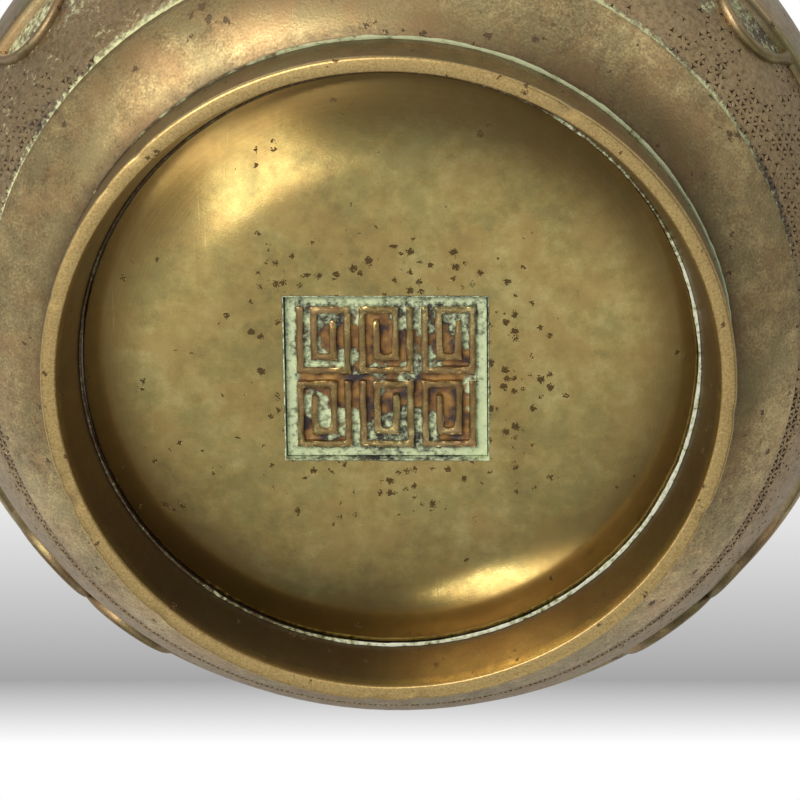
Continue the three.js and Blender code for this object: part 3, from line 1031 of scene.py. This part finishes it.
@dataclass
class SolderBead:
    """Uneven run of solder along a seam, thickest and palest on one side, and painted darker on the far side
    as shade.

    Its middle line has a radius and a height. Its own radius is its size on the thickest side, whose
    direction is in degrees, and a share of that on the far side.
    """

    name: str
    node: str
    finish: SolderSeam
    radius: float
    z: float
    size: float
    thickest: float
    far_share: float
    palest: float
    steps: int = 360
    sides: int = 6

    def share_at(self, middle: Vector, facing: float) -> float:
        """How far a place of the seam has the look of its thickest, palest side, from 0 to 1; low shares are
        painted darker as shade.
        """
        return min(1.0, max(0.0, 0.3 + 0.9 * facing + 0.7 * noise.noise(middle / 7)))

    def build(self) -> bpy.types.Object:
        """Turns a round bead and makes it uneven."""
        turns = [FULL_TURN * i / self.sides for i in range(self.sides)]
        section = [(self.radius + self.size * math.cos(t), self.z + self.size * math.sin(t)) for t in turns]
        bm = turned(section, self.steps)
        pale = bm.verts.layers.float.new("pale")
        turn = math.radians(self.thickest)
        side = Vector((math.cos(turn), math.sin(turn), 0))
        for vert in bm.verts:
            out = Vector((vert.co.x, vert.co.y, 0)).normalized()
            middle = out * self.radius + Vector((0, 0, self.z))
            share = self.share_at(middle, out.dot(side))
            swell = 1 + 0.4 * noise.noise(middle / 5 + side) + 0.3 * noise.noise(middle / 1.3)
            swell *= self.far_share + (1 - self.far_share) * share
            vert.co = middle + (vert.co - middle) * swell
            vert.co += wobble(vert, 2.0, 0.04, self.thickest)
            # Painted shade: a low share paints the bead's far side darker; a high share shows pale lime.
            vert[pale] = share * self.palest
        return finished(bm, self.name, [self.finish.material()], [self.node])


DISC_SOLDER = SolderBead(
    "disc_seam_solder",
    "base_solder",
    SolderSeam(),
    radius=43.98,
    z=8.5,
    size=0.3,
    thickest=35,
    far_share=0.6,
    palest=1.0,
)
FOOT_SOLDER = SolderBead(
    "foot_seam_residue",
    "foot_solder",
    SolderSeam("foot_seam_residue", body="AFB58F", dark="5A5240", clump_mm=1.8),
    radius=48.5,
    z=9.55,
    size=0.38,
    thickest=-42,
    far_share=0.25,
    palest=0.9,
)


@dataclass
class LobedFrame:
    """Raised rib of two round lobes, laid on the belly below or above the girdle."""

    lobe_radius: float = 8.4
    lobe_spacing: float = 15.2
    lobe_rise: float = 1.2
    rib_width: float = 1.5
    rib_proud: float = 0.95
    rib_fullness: float = 0.8
    tongue: float = 1.5
    tongue_reach: float = 3.4
    tucked: float = 0.7
    seat_gap: float = 0.2
    sunk: float = 0.35
    girdle_half: float = 11.0
    arc_steps: int = 40
    round_steps: int = 8
    corners: dict[str, float] = field(
        default_factory=lambda: {"back_right": 46, "back_left": 134, "front_left": 226, "front_right": -46}
    )

    def edge_z(self, side: int) -> float:
        """Height of the girdle's edge that the rib starts from."""
        return BELLY.middle + side * (self.girdle_half + self.seat_gap)

    def flat_rib(self) -> bmesh.types.BMesh:
        """Rib on a flat ground: a half-round section spun along a lobe, spread at its end and mirrored."""
        bm = bmesh.new()
        middle = self.lobe_radius - self.rib_width / 2
        half = self.rib_width / 2
        section = [(middle - half, -self.sunk - self.seat_gap)]
        for i in range(self.round_steps + 1):
            turn = math.pi * (1 - i / self.round_steps)
            rise = self.rib_proud * math.sin(turn) ** self.rib_fullness
            section.append((middle + half * math.cos(turn), rise))
        section.append((middle + half, -self.sunk - self.seat_gap))
        centre = Vector((-self.lobe_spacing / 2, self.lobe_rise, 0))
        verts = [bm.verts.new(centre + Vector((-rho, 0, h))) for rho, h in section]
        face = bm.faces.new(verts)
        bmesh.ops.spin(
            bm, geom=[face, *face.edges, *verts], cent=centre, axis=(0, 0, 1), angle=math.pi,
            steps=self.arc_steps, use_duplicate=False,
        )
        for vert in bm.verts:
            near_end = max(0.0, 1 + (vert.co.y - self.tucked) / self.tongue_reach)
            outside = (Vector((vert.co.x, vert.co.y, 0)) - centre).length - middle
            if vert.co.x < centre.x and outside > 0:
                vert.co.x -= self.tongue * near_end**2 * outside / half
        for cut, away in (((0, 0, 0), (1, 0, 0)), ((0, self.tucked, 0), (0, 1, 0))):
            everything = bm.verts[:] + bm.edges[:] + bm.faces[:]
            made = bmesh.ops.bisect_plane(
                bm, geom=everything, dist=MERGE, plane_co=cut, plane_no=away, clear_outer=True
            )["geom_cut"]
            if cut[1]:
                rim = [e for e in made if isinstance(e, bmesh.types.BMEdge)]
                for end in bmesh.ops.holes_fill(bm, edges=rim, sides=0)["faces"]:
                    begun_alike(bm, end)
        everything = bm.verts[:] + bm.edges[:] + bm.faces[:]
        bmesh.ops.mirror(bm, geom=everything, matrix=Matrix.Identity(4), merge_dist=0.001, axis="X")
        bmesh.ops.remove_doubles(bm, verts=bm.verts[:], dist=MERGE)
        bmesh.ops.recalc_face_normals(bm, faces=bm.faces[:])
        return bm

    def lay_on_belly(self, bm: bmesh.types.BMesh, azimuth: float, side: int) -> None:
        """Bends the flat rib onto the belly.

        Args:
            bm: the flat rib.
            azimuth: direction of the cusp, in degrees.
            side: -1 below the girdle, 1 above it.
        """
        edge = self.edge_z(side)
        for vert in bm.verts:
            along, down = vert.co.x * -side, vert.co.y
            z = BELLY.climbed(edge, round(down * -side, 5) if side > 0 else round(down, 5))
            slope = BELLY.slope(z)
            out = (self.seat_gap + vert.co.z) / math.hypot(1, slope)
            turn = math.radians(azimuth) + along / BELLY.radius(edge)
            reach = BELLY.radius(z) + out
            vert.co = Vector((reach * math.cos(turn), reach * math.sin(turn), z - out * slope))
        bmesh.ops.recalc_face_normals(bm, faces=bm.faces[:])

    def nearness(self, azimuth: float, z: float) -> float:
        """How far a point of the belly lies inside the nearest rib's outer edge.

        Args:
            azimuth: its direction, in radians.
            z: its height.

        Returns:
            Millimetres inside, negative outside.
        """
        side = -1 if z < BELLY.middle else 1
        edge = self.edge_z(side)
        down = BELLY.walked(edge, round(z, 2)) * side
        along = self.off_cusp(azimuth) - self.lobe_spacing / 2
        return self.lobe_radius - math.hypot(along, down + self.lobe_rise)

    def off_cusp(self, azimuth: float) -> float:
        """Distance along the girdle from the nearest frame's middle line."""
        turns = [(azimuth - math.radians(c) + math.pi) % FULL_TURN - math.pi for c in self.corners.values()]
        return min(abs(turn) for turn in turns) * BELLY.radius(self.edge_z(-1))

    def build(self) -> list[bpy.types.Object]:
        """Makes the eight ribs."""
        shades = {"bright": "AA9776", "body": "8C795B", "dull": "66573F"}
        bronze = CastBronze("cast_bronze_frame", smooth=0.4, coarse=0.52, **shades).material()
        made = []
        for side, level in ((-1, "lower"), (1, "upper")):
            for corner, azimuth in self.corners.items():
                bm = self.flat_rib()
                self.lay_on_belly(bm, azimuth, side)
                node = f"{level}_frame_{corner}"
                made.append(finished(bm, node + "_rib", [bronze], [node], math.radians(60)))
        return made


@dataclass
class Girdle:
    """Smooth raised band about the widest part, with a round bead and a fine groove along each edge."""

    width: float = 22.0
    proud: float = 1.1
    bead_width: float = 1.5
    bead_rise: float = 0.4
    groove: float = 0.5
    back_sunk: float = 0.4
    bead_steps: int = 8
    face_steps: int = 18
    steps: int = 256

    def bead(self, side: int) -> list[tuple[float, float]]:
        """Bead at one edge, from the outside in."""
        found = []
        for i in range(self.bead_steps + 1):
            share = i / self.bead_steps
            z = BELLY.middle + side * (self.width / 2 - self.bead_width * share)
            rise = self.bead_rise * (2 * math.sin(math.pi * share) - 1)
            found.append((BELLY.radius(z) + self.proud + rise, z))
        return found

    def build(self) -> bpy.types.Object:
        """Turns the band."""
        half = self.width / 2
        reach = half - self.bead_width - self.groove
        face = []
        for i in range(self.face_steps + 1):
            z = BELLY.middle - reach + 2 * reach * i / self.face_steps
            face.append((BELLY.radius(z) + self.proud, z))
        heights = [BELLY.middle + half * share for share in (1, 0.5, 0, -0.5, -1)]
        back = [(BELLY.radius(z) - self.back_sunk, z) for z in heights]
        bm = turned([*self.bead(-1), *face, *reversed(self.bead(1)), *back], self.steps)
        bronze = CastBronze("cast_bronze_girdle", bright="B3A380", body="93835F", dull="706148").material()
        return finished(bm, "girdle_band", [bronze], ["girdle"])


@dataclass
class Bowl:
    """Bowl with its plain band, groove, ring-punched ground, neck, lip and inner wall."""

    frames: LobedFrame
    wall: float = 3.0
    bottom_z: float = 10.02
    band_step: float = 0.75
    band_swell: float = 0.6
    band_round: float = 0.3
    band_rings: int = 14
    groove_width: float = 0.7
    neck_radius: float = 50.2
    neck_flare: float = 5.3
    neck_height: float = 16.0
    lip_overhang: float = 1.5
    lip_width: float = 4.0
    lip_height: float = 2.6
    inside_rings: int = 18
    punches: int = 120
    ground_top: float = 70.0
    shake: float = 0.0012
    hollow_rim: float = 0.07
    hollow_depth: float = 0.42
    hollow_sizes: tuple[float, float] = (0.5, 1.0)
    hollow_largest: float = 1.1
    hollow_pinch: float = 0.36
    full_pinch: float = 0.1
    worn_share: float = 0.28
    first_row: float = 2.1
    first_row_gain: float = 0.4
    first_row_y: float = 8.0
    crumbs_towards: float = math.radians(215)
    lobe_reach: float = 9.0
    lobe_rim: float = 1.2
    seed: int = 11

    @property
    def shoulder_z(self) -> float:
        """Height where the belly has closed to the neck."""
        return BELLY.middle + BELLY.rise(self.neck_radius + self.wall / 2, BELLY.span_up)

    @property
    def ground_start(self) -> float:
        """Height of the groove's upper edge, where the punched ground starts."""
        return BAND_TOP + self.groove_width

    @property
    def lip_under(self) -> float:
        """Height of the lip's underside."""
        return self.shoulder_z + self.neck_height

    def band(self) -> list[tuple[float, float]]:
        """Plain band from the foot's seam to the groove."""
        start = Vector((FOOT.seam_radius, self.bottom_z))
        end = Vector((BELLY.radius(BAND_TOP) + self.band_step, BAND_TOP))
        along = (end - start).normalized()
        found = []
        for i in range(self.band_rings + 1):
            share = i / self.band_rings
            swell = self.band_swell * math.sin(math.pi * share)
            point = start.lerp(end, share) + Vector((along.y, -along.x)) * swell
            found.append((point.x, point.y))
        return found

    def rows(self, low: float, high: float) -> list[tuple[float, float]]:
        """Rows of ring punches between two heights, set so that three neighbours stand evenly."""
        found = [(BELLY.radius(low), low)]
        while found[-1][1] < high:
            pitch = FULL_TURN * found[-1][0] / self.punches
            z = BELLY.climbed(found[-1][1], round(pitch * math.sqrt(3) / 2, 5))
            found.append((BELLY.radius(z), z))
        return found

    def neck(self, inset: float, steps: int = 12) -> list[tuple[float, float]]:
        """Neck from the shoulder to the lip's underside; an inset gives its inner face."""
        foot = BELLY.middle + BELLY.rise(self.neck_radius + self.wall / 2 - inset, BELLY.span_up, inset)
        found = []
        for i in range(1, steps + 1):
            share = i / steps
            cove = self.wall / 2 * (1 - share) ** 4
            radius = self.neck_radius - inset + cove + self.neck_flare * share**2
            found.append((radius, foot + (self.lip_under - foot) * share))
        return found

    def lip(self) -> list[tuple[float, float]]:
        """Everted lip, from its underside round to its inner edge."""
        radius = self.neck_radius + self.neck_flare + self.lip_overhang
        top = self.lip_under + self.lip_height
        crown = self.lip_width / 4
        found = [(radius - 0.45, self.lip_under + 0.12), (radius, self.lip_under + self.lip_height / 3)]
        for i in range(5):
            turn = math.pi / 2 * i / 4
            found.append((radius - crown + crown * math.cos(turn), top - crown + crown * math.sin(turn)))
        found += [(radius - self.lip_width + 0.35, top), (radius - self.lip_width, top - 0.3)]
        return found

    def inside(self) -> list[tuple[float, float]]:
        """Inner wall from under the lip down to the floor's outer edge."""
        high = BELLY.middle + BELLY.rise(self.neck_radius - self.wall / 2, BELLY.span_up, self.wall)
        low = BELLY.middle - BELLY.rise(FOOT.bore_radius + self.wall, BELLY.span_down, self.wall)
        heights = [high + (low - high) * i / self.inside_rings for i in range(self.inside_rings + 1)]
        wall = [(BELLY.radius(z, self.wall), z) for z in heights]
        return [*reversed(self.neck(self.wall)), *wall, (FOOT.bore_radius, low - self.wall / 2)]

    def zoned_outline(self) -> list[tuple[float, float, Zone]]:
        """Whole outline with the zone that each ring belongs to."""
        groove_z = BAND_TOP + self.groove_width / 2
        lower = self.rows(self.ground_start, self.frames.edge_z(-1) + 0.4)
        upper = self.rows(self.frames.edge_z(1) - 0.6, self.ground_top)
        covered = [lower[-1][1] + (upper[0][1] - lower[-1][1]) * i / 6 for i in range(1, 6)]
        top = upper[-1][1]
        shoulder = [top + (self.shoulder_z - top) * i / 4 for i in range(1, 5)]
        parts = [
            (Zone.SEAM, [(FOOT.bore_radius, self.bottom_z)]),
            (Zone.BAND, self.band()),
            (Zone.GROOVE, [(BELLY.radius(BAND_TOP), groove_z)]),
            (Zone.GROUND, lower),
            (Zone.COVERED, [(BELLY.radius(z), z) for z in covered]),
            (Zone.GROUND, upper),
            (Zone.SHOULDER, [(BELLY.radius(z), z) for z in shoulder]),
            (Zone.NECK, [*self.neck(0.0), *self.lip()]),
            (Zone.INSIDE, self.inside()),
        ]
        return [(r, z, zone) for zone, points in parts for r, z in points]

    def build(self) -> bpy.types.Object:
        """Turns the bowl, punches its ground and maps its hollows and crust."""
        outline = self.zoned_outline()
        zones = [zone for _, _, zone in outline]
        bm = turned([(r, z) for r, z, _ in outline], self.punches)
        hollow = bm.verts.layers.float.new("hollow")
        crust = bm.verts.layers.float.new("crust")
        ring = bm.verts.layers.int["ring"]
        grounds = self.stagger(bm, zones)
        round_ring(bm, BELLY.radius(BAND_TOP) + self.band_step, BAND_TOP, self.band_round, 3)
        for face in bm.faces:
            face.material_index = int(any(zones[v[ring]] is Zone.INSIDE for v in face.verts))
        self.punch(bm, grounds, hollow)
        for vert in bm.verts:
            vert[crust] = self.crust_at(vert.co)
        bronzes = [BowlBronze().material(), InsideBronze().material()]
        return finished(bm, "bowl_bronze", bronzes, ["bowl"])

    def stagger(self, bm: bmesh.types.BMesh, zones: Sequence[Zone]) -> list[bmesh.types.BMFace]:
        """Turns every second row of punches by half a step and cuts the ground in even triangles.

        Args:
            bm: the turned bowl.
            zones: zone of each ring.

        Returns:
            The ground's faces.
        """
        ring = bm.verts.layers.int["ring"]
        chance = random.Random(self.seed)
        half_step = math.pi / self.punches
        for vert in bm.verts:
            index = vert[ring]
            if zones[index] is not Zone.GROUND:
                continue
            first = index - next(k for k in range(index + 1) if zones[index - k] is not Zone.GROUND) + 1
            turn = half_step * ((index - first) % 2)
            inner = zones[index - 1] is Zone.GROUND and zones[index + 1] is Zone.GROUND
            shake = self.shake if inner else 0.0
            turn += chance.uniform(-shake, shake)
            z = vert.co.z + chance.uniform(-shake, shake) * 50
            radius = BELLY.radius(z)
            angle = math.atan2(vert.co.y, vert.co.x) + turn
            vert.co = Vector((radius * math.cos(angle), radius * math.sin(angle), z))
        grounds = [f for f in bm.faces if all(zones[v[ring]] is Zone.GROUND for v in f.verts)]
        return bmesh.ops.triangulate(bm, faces=grounds, quad_method="SHORT_EDGE")["faces"]

    def in_first_row(self, point: Vector) -> bool:
        """Whether a place lies in the unworn row above the groove, on the lower side of the picture."""
        return point.y > self.first_row_y and point.z < self.ground_start + self.first_row

    def worn_away(self, point: Vector) -> float:
        """Share of the hollows that use has worn away about a place, more in patches and on some sides."""
        rubbed = 0.45 * max(0.0, point.y / 60) + max(0.0, noise.noise(point / 12))
        rubbed += 0.35 * max(0.0, (-point.y - 36) / 14) + 0.14 * max(0.0, -point.x / 60)
        return self.worn_share + rubbed * 1.7

    def punch(
        self, bm: bmesh.types.BMesh, grounds: list[bmesh.types.BMFace], hollow: bmesh.types.BMLayerItem
    ) -> None:
        """Sinks the small three-cornered hollow between each three ring punches.

        Args:
            bm: the bowl.
            grounds: the ground's triangles.
            hollow: layer that records how deep a vertex lies.
        """
        chance = random.Random(self.seed + 1)
        corners = {v for f in grounds for v in f.verts}
        edges = list(dict.fromkeys(e for f in grounds for e in f.edges))
        bmesh.ops.subdivide_edges(bm, edges=edges, cuts=1, use_grid_fill=True)
        middles = [f for f in bm.faces if len(f.verts) == 3 and not any(v in corners for v in f.verts)]
        middles.sort(key=in_turn)
        pits = []
        for face in middles:
            centre = face.calc_center_median()
            azimuth = math.atan2(centre.y, centre.x)
            worn = chance.random() < self.worn_away(centre) and not self.in_first_row(centre)
            covered = self.frames.edge_z(-1) < centre.z < self.frames.edge_z(1)
            if not worn and not covered and self.frames.nearness(azimuth, centre.z) < -0.4:
                pits.append(face)
        bmesh.ops.inset_individual(bm, faces=pits, thickness=self.hollow_rim, use_even_offset=True)
        rims = list(dict.fromkeys(e for f in pits for e in f.edges))
        split = bmesh.ops.bisect_edges(bm, edges=rims, cuts=1)["geom_split"]
        new = {v for v in split if isinstance(v, bmesh.types.BMVert)}
        sizes = []
        for face in pits:
            centre = face.calc_center_median()
            size = chance.uniform(*self.hollow_sizes)
            if self.in_first_row(centre):
                size = min(self.hollow_largest, size + self.first_row_gain)
            sizes.append(size)
            pinch = self.hollow_pinch if size < self.hollow_largest else self.full_pinch
            for vert in face.verts:
                drawn = pinch if vert in new else chance.uniform(-0.15, 0.1)
                vert.co = vert.co.lerp(centre, 1 - size * (1 - drawn))
        centres = bmesh.ops.poke(bm, faces=pits, offset=0.0, center_mode="MEAN")["verts"]
        for vert, size in zip(centres, sizes):
            vert.co -= vert.normal * self.hollow_depth * size
            vert[hollow] = min(1.0, 0.35 + size * chance.uniform(0.4, 1.0))

    def crust_at(self, point: Vector) -> float:
        """How likely crust is at a point of the bowl, from 0 to 1."""

        def hill(distance: float, width: float) -> float:
            return math.exp(-((distance / width) ** 2))

        z = point.z
        radius = math.hypot(point.x, point.y)
        if radius < BELLY.radius(z, 1.0) - 0.5 and z > self.bottom_z + 1:
            return 0.0
        azimuth = math.atan2(point.y, point.x)
        # The groove is crusted most on the picture's upper side, and the ground has crumbs on one side only.
        upper_side = min(1.0, max(0.0, 0.5 - 1.4 * math.sin(azimuth)))
        line = hill(z - BAND_TOP - 0.4, 0.62) * (0.12 + 0.93 * upper_side)
        groove = max(line, 0.66 * upper_side * hill(z - BAND_TOP - 0.8, 0.9))
        low, high = self.frames.edge_z(-1), self.frames.edge_z(1)
        if BAND_TOP + 1 < z < low:
            groove = max(groove, 0.44 * math.cos(azimuth - self.crumbs_towards))
        if not low - self.lobe_reach < z < high + self.lobe_reach:
            return groove
        # Near the girdle, crust fills the lobes and lines the girdle's edges and the cusps between the lobes.
        edge = hill(min(abs(z - low), abs(z - high)), 0.8)
        inside = self.frames.nearness(azimuth, z)
        cusp = hill(self.frames.off_cusp(azimuth), 3.2) if -3.5 < inside < 1 else 0.0
        lobes = 0.72 if self.lobe_rim < inside else max(0.0, 0.8 - abs(inside) / 0.8)
        return min(1.0, max(groove, edge * 0.6, lobes, cusp * 0.7))


# Studio


@dataclass(frozen=True)
class Lamp:
    """Soft lamp that faces the burner.

    It is seen from the burner to the right, up and towards the camera. Its distance, width and height are in
    metres, and its top leans to the left in the picture by some degrees.
    """

    name: str
    seen: tuple[float, float, float]
    distance: float
    size: tuple[float, float]
    watts: float
    lean: float = 0.0


@dataclass
class Studio:
    """Pale floor, plain studio light and a camera at the picture's angle."""

    camera_at: tuple[float, float, float] = (0.02117, -0.26945, -0.64572)
    right: tuple[float, float, float] = (0.999613, 0.010779, 0.025654)
    up: tuple[float, float, float] = (0.0, -0.921931, 0.387355)
    forward: tuple[float, float, float] = (-0.027826, 0.387205, 0.921574)
    lens: float = 224.58
    sensor: float = 36.0
    focal_px: float = 4990.6
    half_picture_px: float = 400
    backdrop: tuple[tuple[float, str], ...] = (
        (0.0, "FFFFFF"),
        (0.12, "F9F9F9"),
        (0.7, "A5A5A5"),
        (0.86, "FFFFFF"),
    )
    levels: tuple[tuple[float, str], ...] = (
        (-180, "A0A0A0"),
        (-123, "CECECE"),
        (-92, "A8A8A8"),
        (-81, "A0A0A0"),
        (-74, "707070"),
        (-64, "929292"),
        (-56, "C8C8C8"),
        (-47, "E1E1E1"),
        (-41, "FFFFFF"),
        (-30, "DADADA"),
        (-24, "B4B4B4"),
        (-17, "8C8C8C"),
        (16, "8A8A8A"),
        (32, "F4F4F4"),
        (60, "F1F1F1"),
        (100, "A0A0A0"),
        (150, "BCBCBC"),
    )
    lamp_colour: str = "FFFAF0"
    lamps_towards: tuple[float, float, float] = (0, 0, 0.02)
    lamps: tuple[Lamp, ...] = (
        Lamp("key_lamp", (-0.301, -0.351, 0.886), distance=0.7, size=(0.13, 0.31), watts=0.35, lean=24),
        Lamp("hot_lamp", (-0.35, 0.18, 0.92), distance=0.7, size=(0.24, 0.16), watts=2.7),
        Lamp("fill_lamp", (-0.66, 0.14, 0.74), distance=0.7, size=(0.4, 0.6), watts=1.5),
        Lamp("low_lamp", (0.21, -0.934, 0.29), distance=0.5, size=(0.19, 0.06), watts=0.145),
        Lamp("top_lamp", (-0.44, 0.84, -0.45), distance=1.2, size=(0.8, 0.8), watts=3.5),
    )

    @property
    def axes(self) -> list[Vector]:
        """Directions to the right, up and towards the camera."""
        return [Vector(self.right), Vector(self.up), -Vector(self.forward)]

    def camera(self) -> None:
        """Places the camera."""
        data = bpy.data.cameras.new("camera")
        data.lens = self.lens
        data.sensor_width = self.sensor
        data.clip_start = 0.02
        data.clip_end = 50
        camera = bpy.data.objects.new("camera", data)
        bpy.context.scene.collection.objects.link(camera)
        turn = Matrix(self.axes).transposed()
        camera.matrix_world = Matrix.Translation(Vector(self.camera_at)) @ turn.to_4x4()
        bpy.context.scene.camera = camera

    def hang(self, lamp: Lamp) -> None:
        """Hangs one lamp."""
        data = bpy.data.lights.new(lamp.name, "AREA")
        data.shape = "RECTANGLE"
        data.size, data.size_y = lamp.size
        data.energy = lamp.watts
        data.color = linear(self.lamp_colour)[:3]
        hung = bpy.data.objects.new(lamp.name, data)
        hung.visible_camera = False
        bpy.context.scene.collection.objects.link(hung)
        away = sum((axis * part for axis, part in zip(self.axes, lamp.seen)), Vector()).normalized()
        across = Vector(self.up).cross(away).normalized()
        turn = Matrix((across, away.cross(across), away)).transposed()
        place = Matrix.Translation(Vector(self.lamps_towards) + away * lamp.distance)
        lean_left = Matrix.Rotation(math.radians(lamp.lean), 4, "Z")
        hung.matrix_world = place @ turn.to_4x4() @ lean_left

    def floor(self) -> None:
        """Pale floor that the burner stands on, seen only from above."""
        bm = bmesh.new()
        bmesh.ops.create_grid(bm, x_segments=1, y_segments=1, size=4.0)
        mesh = bpy.data.meshes.new("floor")
        bm.to_mesh(mesh)
        bm.free()
        floor = bpy.data.objects.new("floor", mesh)
        bpy.context.scene.collection.objects.link(floor)
        floor.visible_diffuse = False
        floor.visible_glossy = False
        floor.visible_transmission = False
        floor.visible_shadow = False
        material = bpy.data.materials.new("pale_paper")
        material.use_nodes = True
        tree = material.node_tree
        tree.nodes.clear()
        paper = add_node(tree, "BsdfDiffuse", {"Color": linear("F2F0EC")})
        clear = add_node(tree, "BsdfTransparent", {})
        behind = add_node(tree, "NewGeometry", {}).node.outputs["Backfacing"]
        mixed = add_node(tree, "MixShader", {0: behind, 1: paper, 2: clear})
        add_node(tree, "OutputMaterial", {"Surface": mixed})
        mesh.materials.append(material)

    def world(self) -> None:
        """White surroundings to the camera, graded behind the burner; a plain studio to the metal."""
        world = bpy.data.worlds.new("studio")
        world.use_nodes = True
        bpy.context.scene.world = world
        tree = world.node_tree
        tree.nodes.clear()
        ray = add_node(tree, "TexCoord", {}).node.outputs["Generated"]
        dots = {}
        for name, axis in (("up", self.up), ("front", self.forward), ("right", self.right)):
            dot = add_node(tree, "VectorMath", {"operation": "DOT_PRODUCT", 0: ray, 1: axis})
            dots[name] = dot.node.outputs["Value"]
        drop = add_node(tree, "Math", {"operation": "DIVIDE", 0: dots["up"], 1: dots["front"]})
        ahead = add_node(tree, "Math", {"operation": "GREATER_THAN", 0: dots["front"], 1: 0.9})
        lowest = -self.half_picture_px / self.focal_px
        place = add_node(tree, "MapRange", {"Value": drop, "From Min": 0.0, "From Max": lowest})
        place = add_node(tree, "Math", {"operation": "MULTIPLY", 0: place, 1: ahead})
        sweep = add_node(tree, "ValToRGB", {"Fac": place, "ramp": self.backdrop})
        studio = self.surroundings(tree, dots)
        seen = add_node(tree, "LightPath", {}).node.outputs["Is Camera Ray"]
        colour = add_node(tree, "Mix", {"data_type": "RGBA", 0: seen, 6: studio, 7: sweep})
        background = add_node(tree, "Background", {"Color": colour, "Strength": 1.0})
        add_node(tree, "OutputWorld", {"Surface": background})

    def surroundings(
        self, tree: bpy.types.NodeTree, dots: dict[str, bpy.types.NodeSocket]
    ) -> bpy.types.NodeSocket:
        """What the metal mirrors: a white table below the camera, a grey gap at it, and a pale room above.

        Args:
            tree: the world's nodes.
            dots: the ray's parts along the picture's axes.

        Returns:
            The colour of the surroundings.
        """
        toward = add_node(tree, "Math", {"operation": "MULTIPLY", 0: dots["front"], 1: -1.0})
        lift = add_node(tree, "Math", {"operation": "ARCTAN2", 0: dots["up"], 1: toward})
        turn = add_node(tree, "MapRange", {"Value": lift, "From Min": -math.pi, "From Max": math.pi})
        stops = [(0.5 + angle / 360, tone) for angle, tone in self.levels]
        grey = add_node(tree, "ValToRGB", {"Fac": turn, "ramp": stops})
        up, right = dots["up"], dots["right"]
        aside = add_node(tree, "Math", {"operation": "ABSOLUTE", 0: right})
        part = {
            name: add_node(
                tree,
                "MapRange",
                {"Value": along, "From Min": start, "From Max": end, "To Min": first, "To Max": last},
            )
            for name, along, start, end, first, last in (
                ("narrow", aside, 0.34, 0.6, 1, 0.4),
                ("wide", aside, 0.1, 0.5, 1, 1.65),
                ("flanks", aside, 0.72, 0.93, 0, 0.75),
                ("below", up, 0.1, -0.2, 0, 1),
                ("low", up, -0.45, -0.75, 0, 1),
                ("above", up, 0.2, 0.45, 0, 1),
                ("behind", toward, 0.1, -0.12, 0, 1),
                ("tilt", right, -1, 1, 1.15, 0.66),
                ("tilt_above", right, -1, 1, 0.45, 1.4),
            )
        }
        low = add_node(tree, "Math", {"operation": "MULTIPLY", 0: part["low"], 1: part["behind"]})
        width, tilt = part["narrow"], part["tilt"]
        width = add_node(tree, "Mix", {"data_type": "FLOAT", 0: part["behind"], 2: width, 3: part["wide"]})
        width = add_node(tree, "Mix", {"data_type": "FLOAT", 0: part["below"], 2: 1.0, 3: width})
        tilt = add_node(tree, "Mix", {"data_type": "FLOAT", 0: low, 2: tilt, 3: 1.0})
        tilt = add_node(tree, "Mix", {"data_type": "FLOAT", 0: part["above"], 2: tilt, 3: part["tilt_above"]})
        level = add_node(tree, "Math", {"operation": "MULTIPLY", 0: grey, 1: width})
        level = add_node(tree, "Math", {"operation": "MAXIMUM", 0: level, 1: part["flanks"]})
        level = add_node(tree, "Math", {"operation": "MULTIPLY", 0: level, 1: tilt})
        return add_node(tree, "CombineColor", {0: level, 1: level, 2: level})

    def build(self) -> None:
        """Sets up the whole studio."""
        scene = bpy.context.scene
        scene.view_settings.view_transform = "Standard"
        self.camera()
        self.floor()
        self.world()
        for lamp in self.lamps:
            self.hang(lamp)


def main() -> None:
    """Builds the burner piece by piece, then the studio round it."""
    logging.basicConfig(level=logging.INFO, format="%(message)s")
    noise.seed_set(NOISE_SEED)
    frames = LobedFrame()
    pieces = [
        FootRing().build(),
        BaseDisc().build(),
        PanelTile().build(),
        DISC_SOLDER.build(),
        FOOT_SOLDER.build(),
        Girdle().build(),
        *frames.build(),
        Bowl(frames).build(),
    ]
    LOG.info("%d pieces", len(pieces))
    Studio().build()


if __name__ == "__main__":
    main()
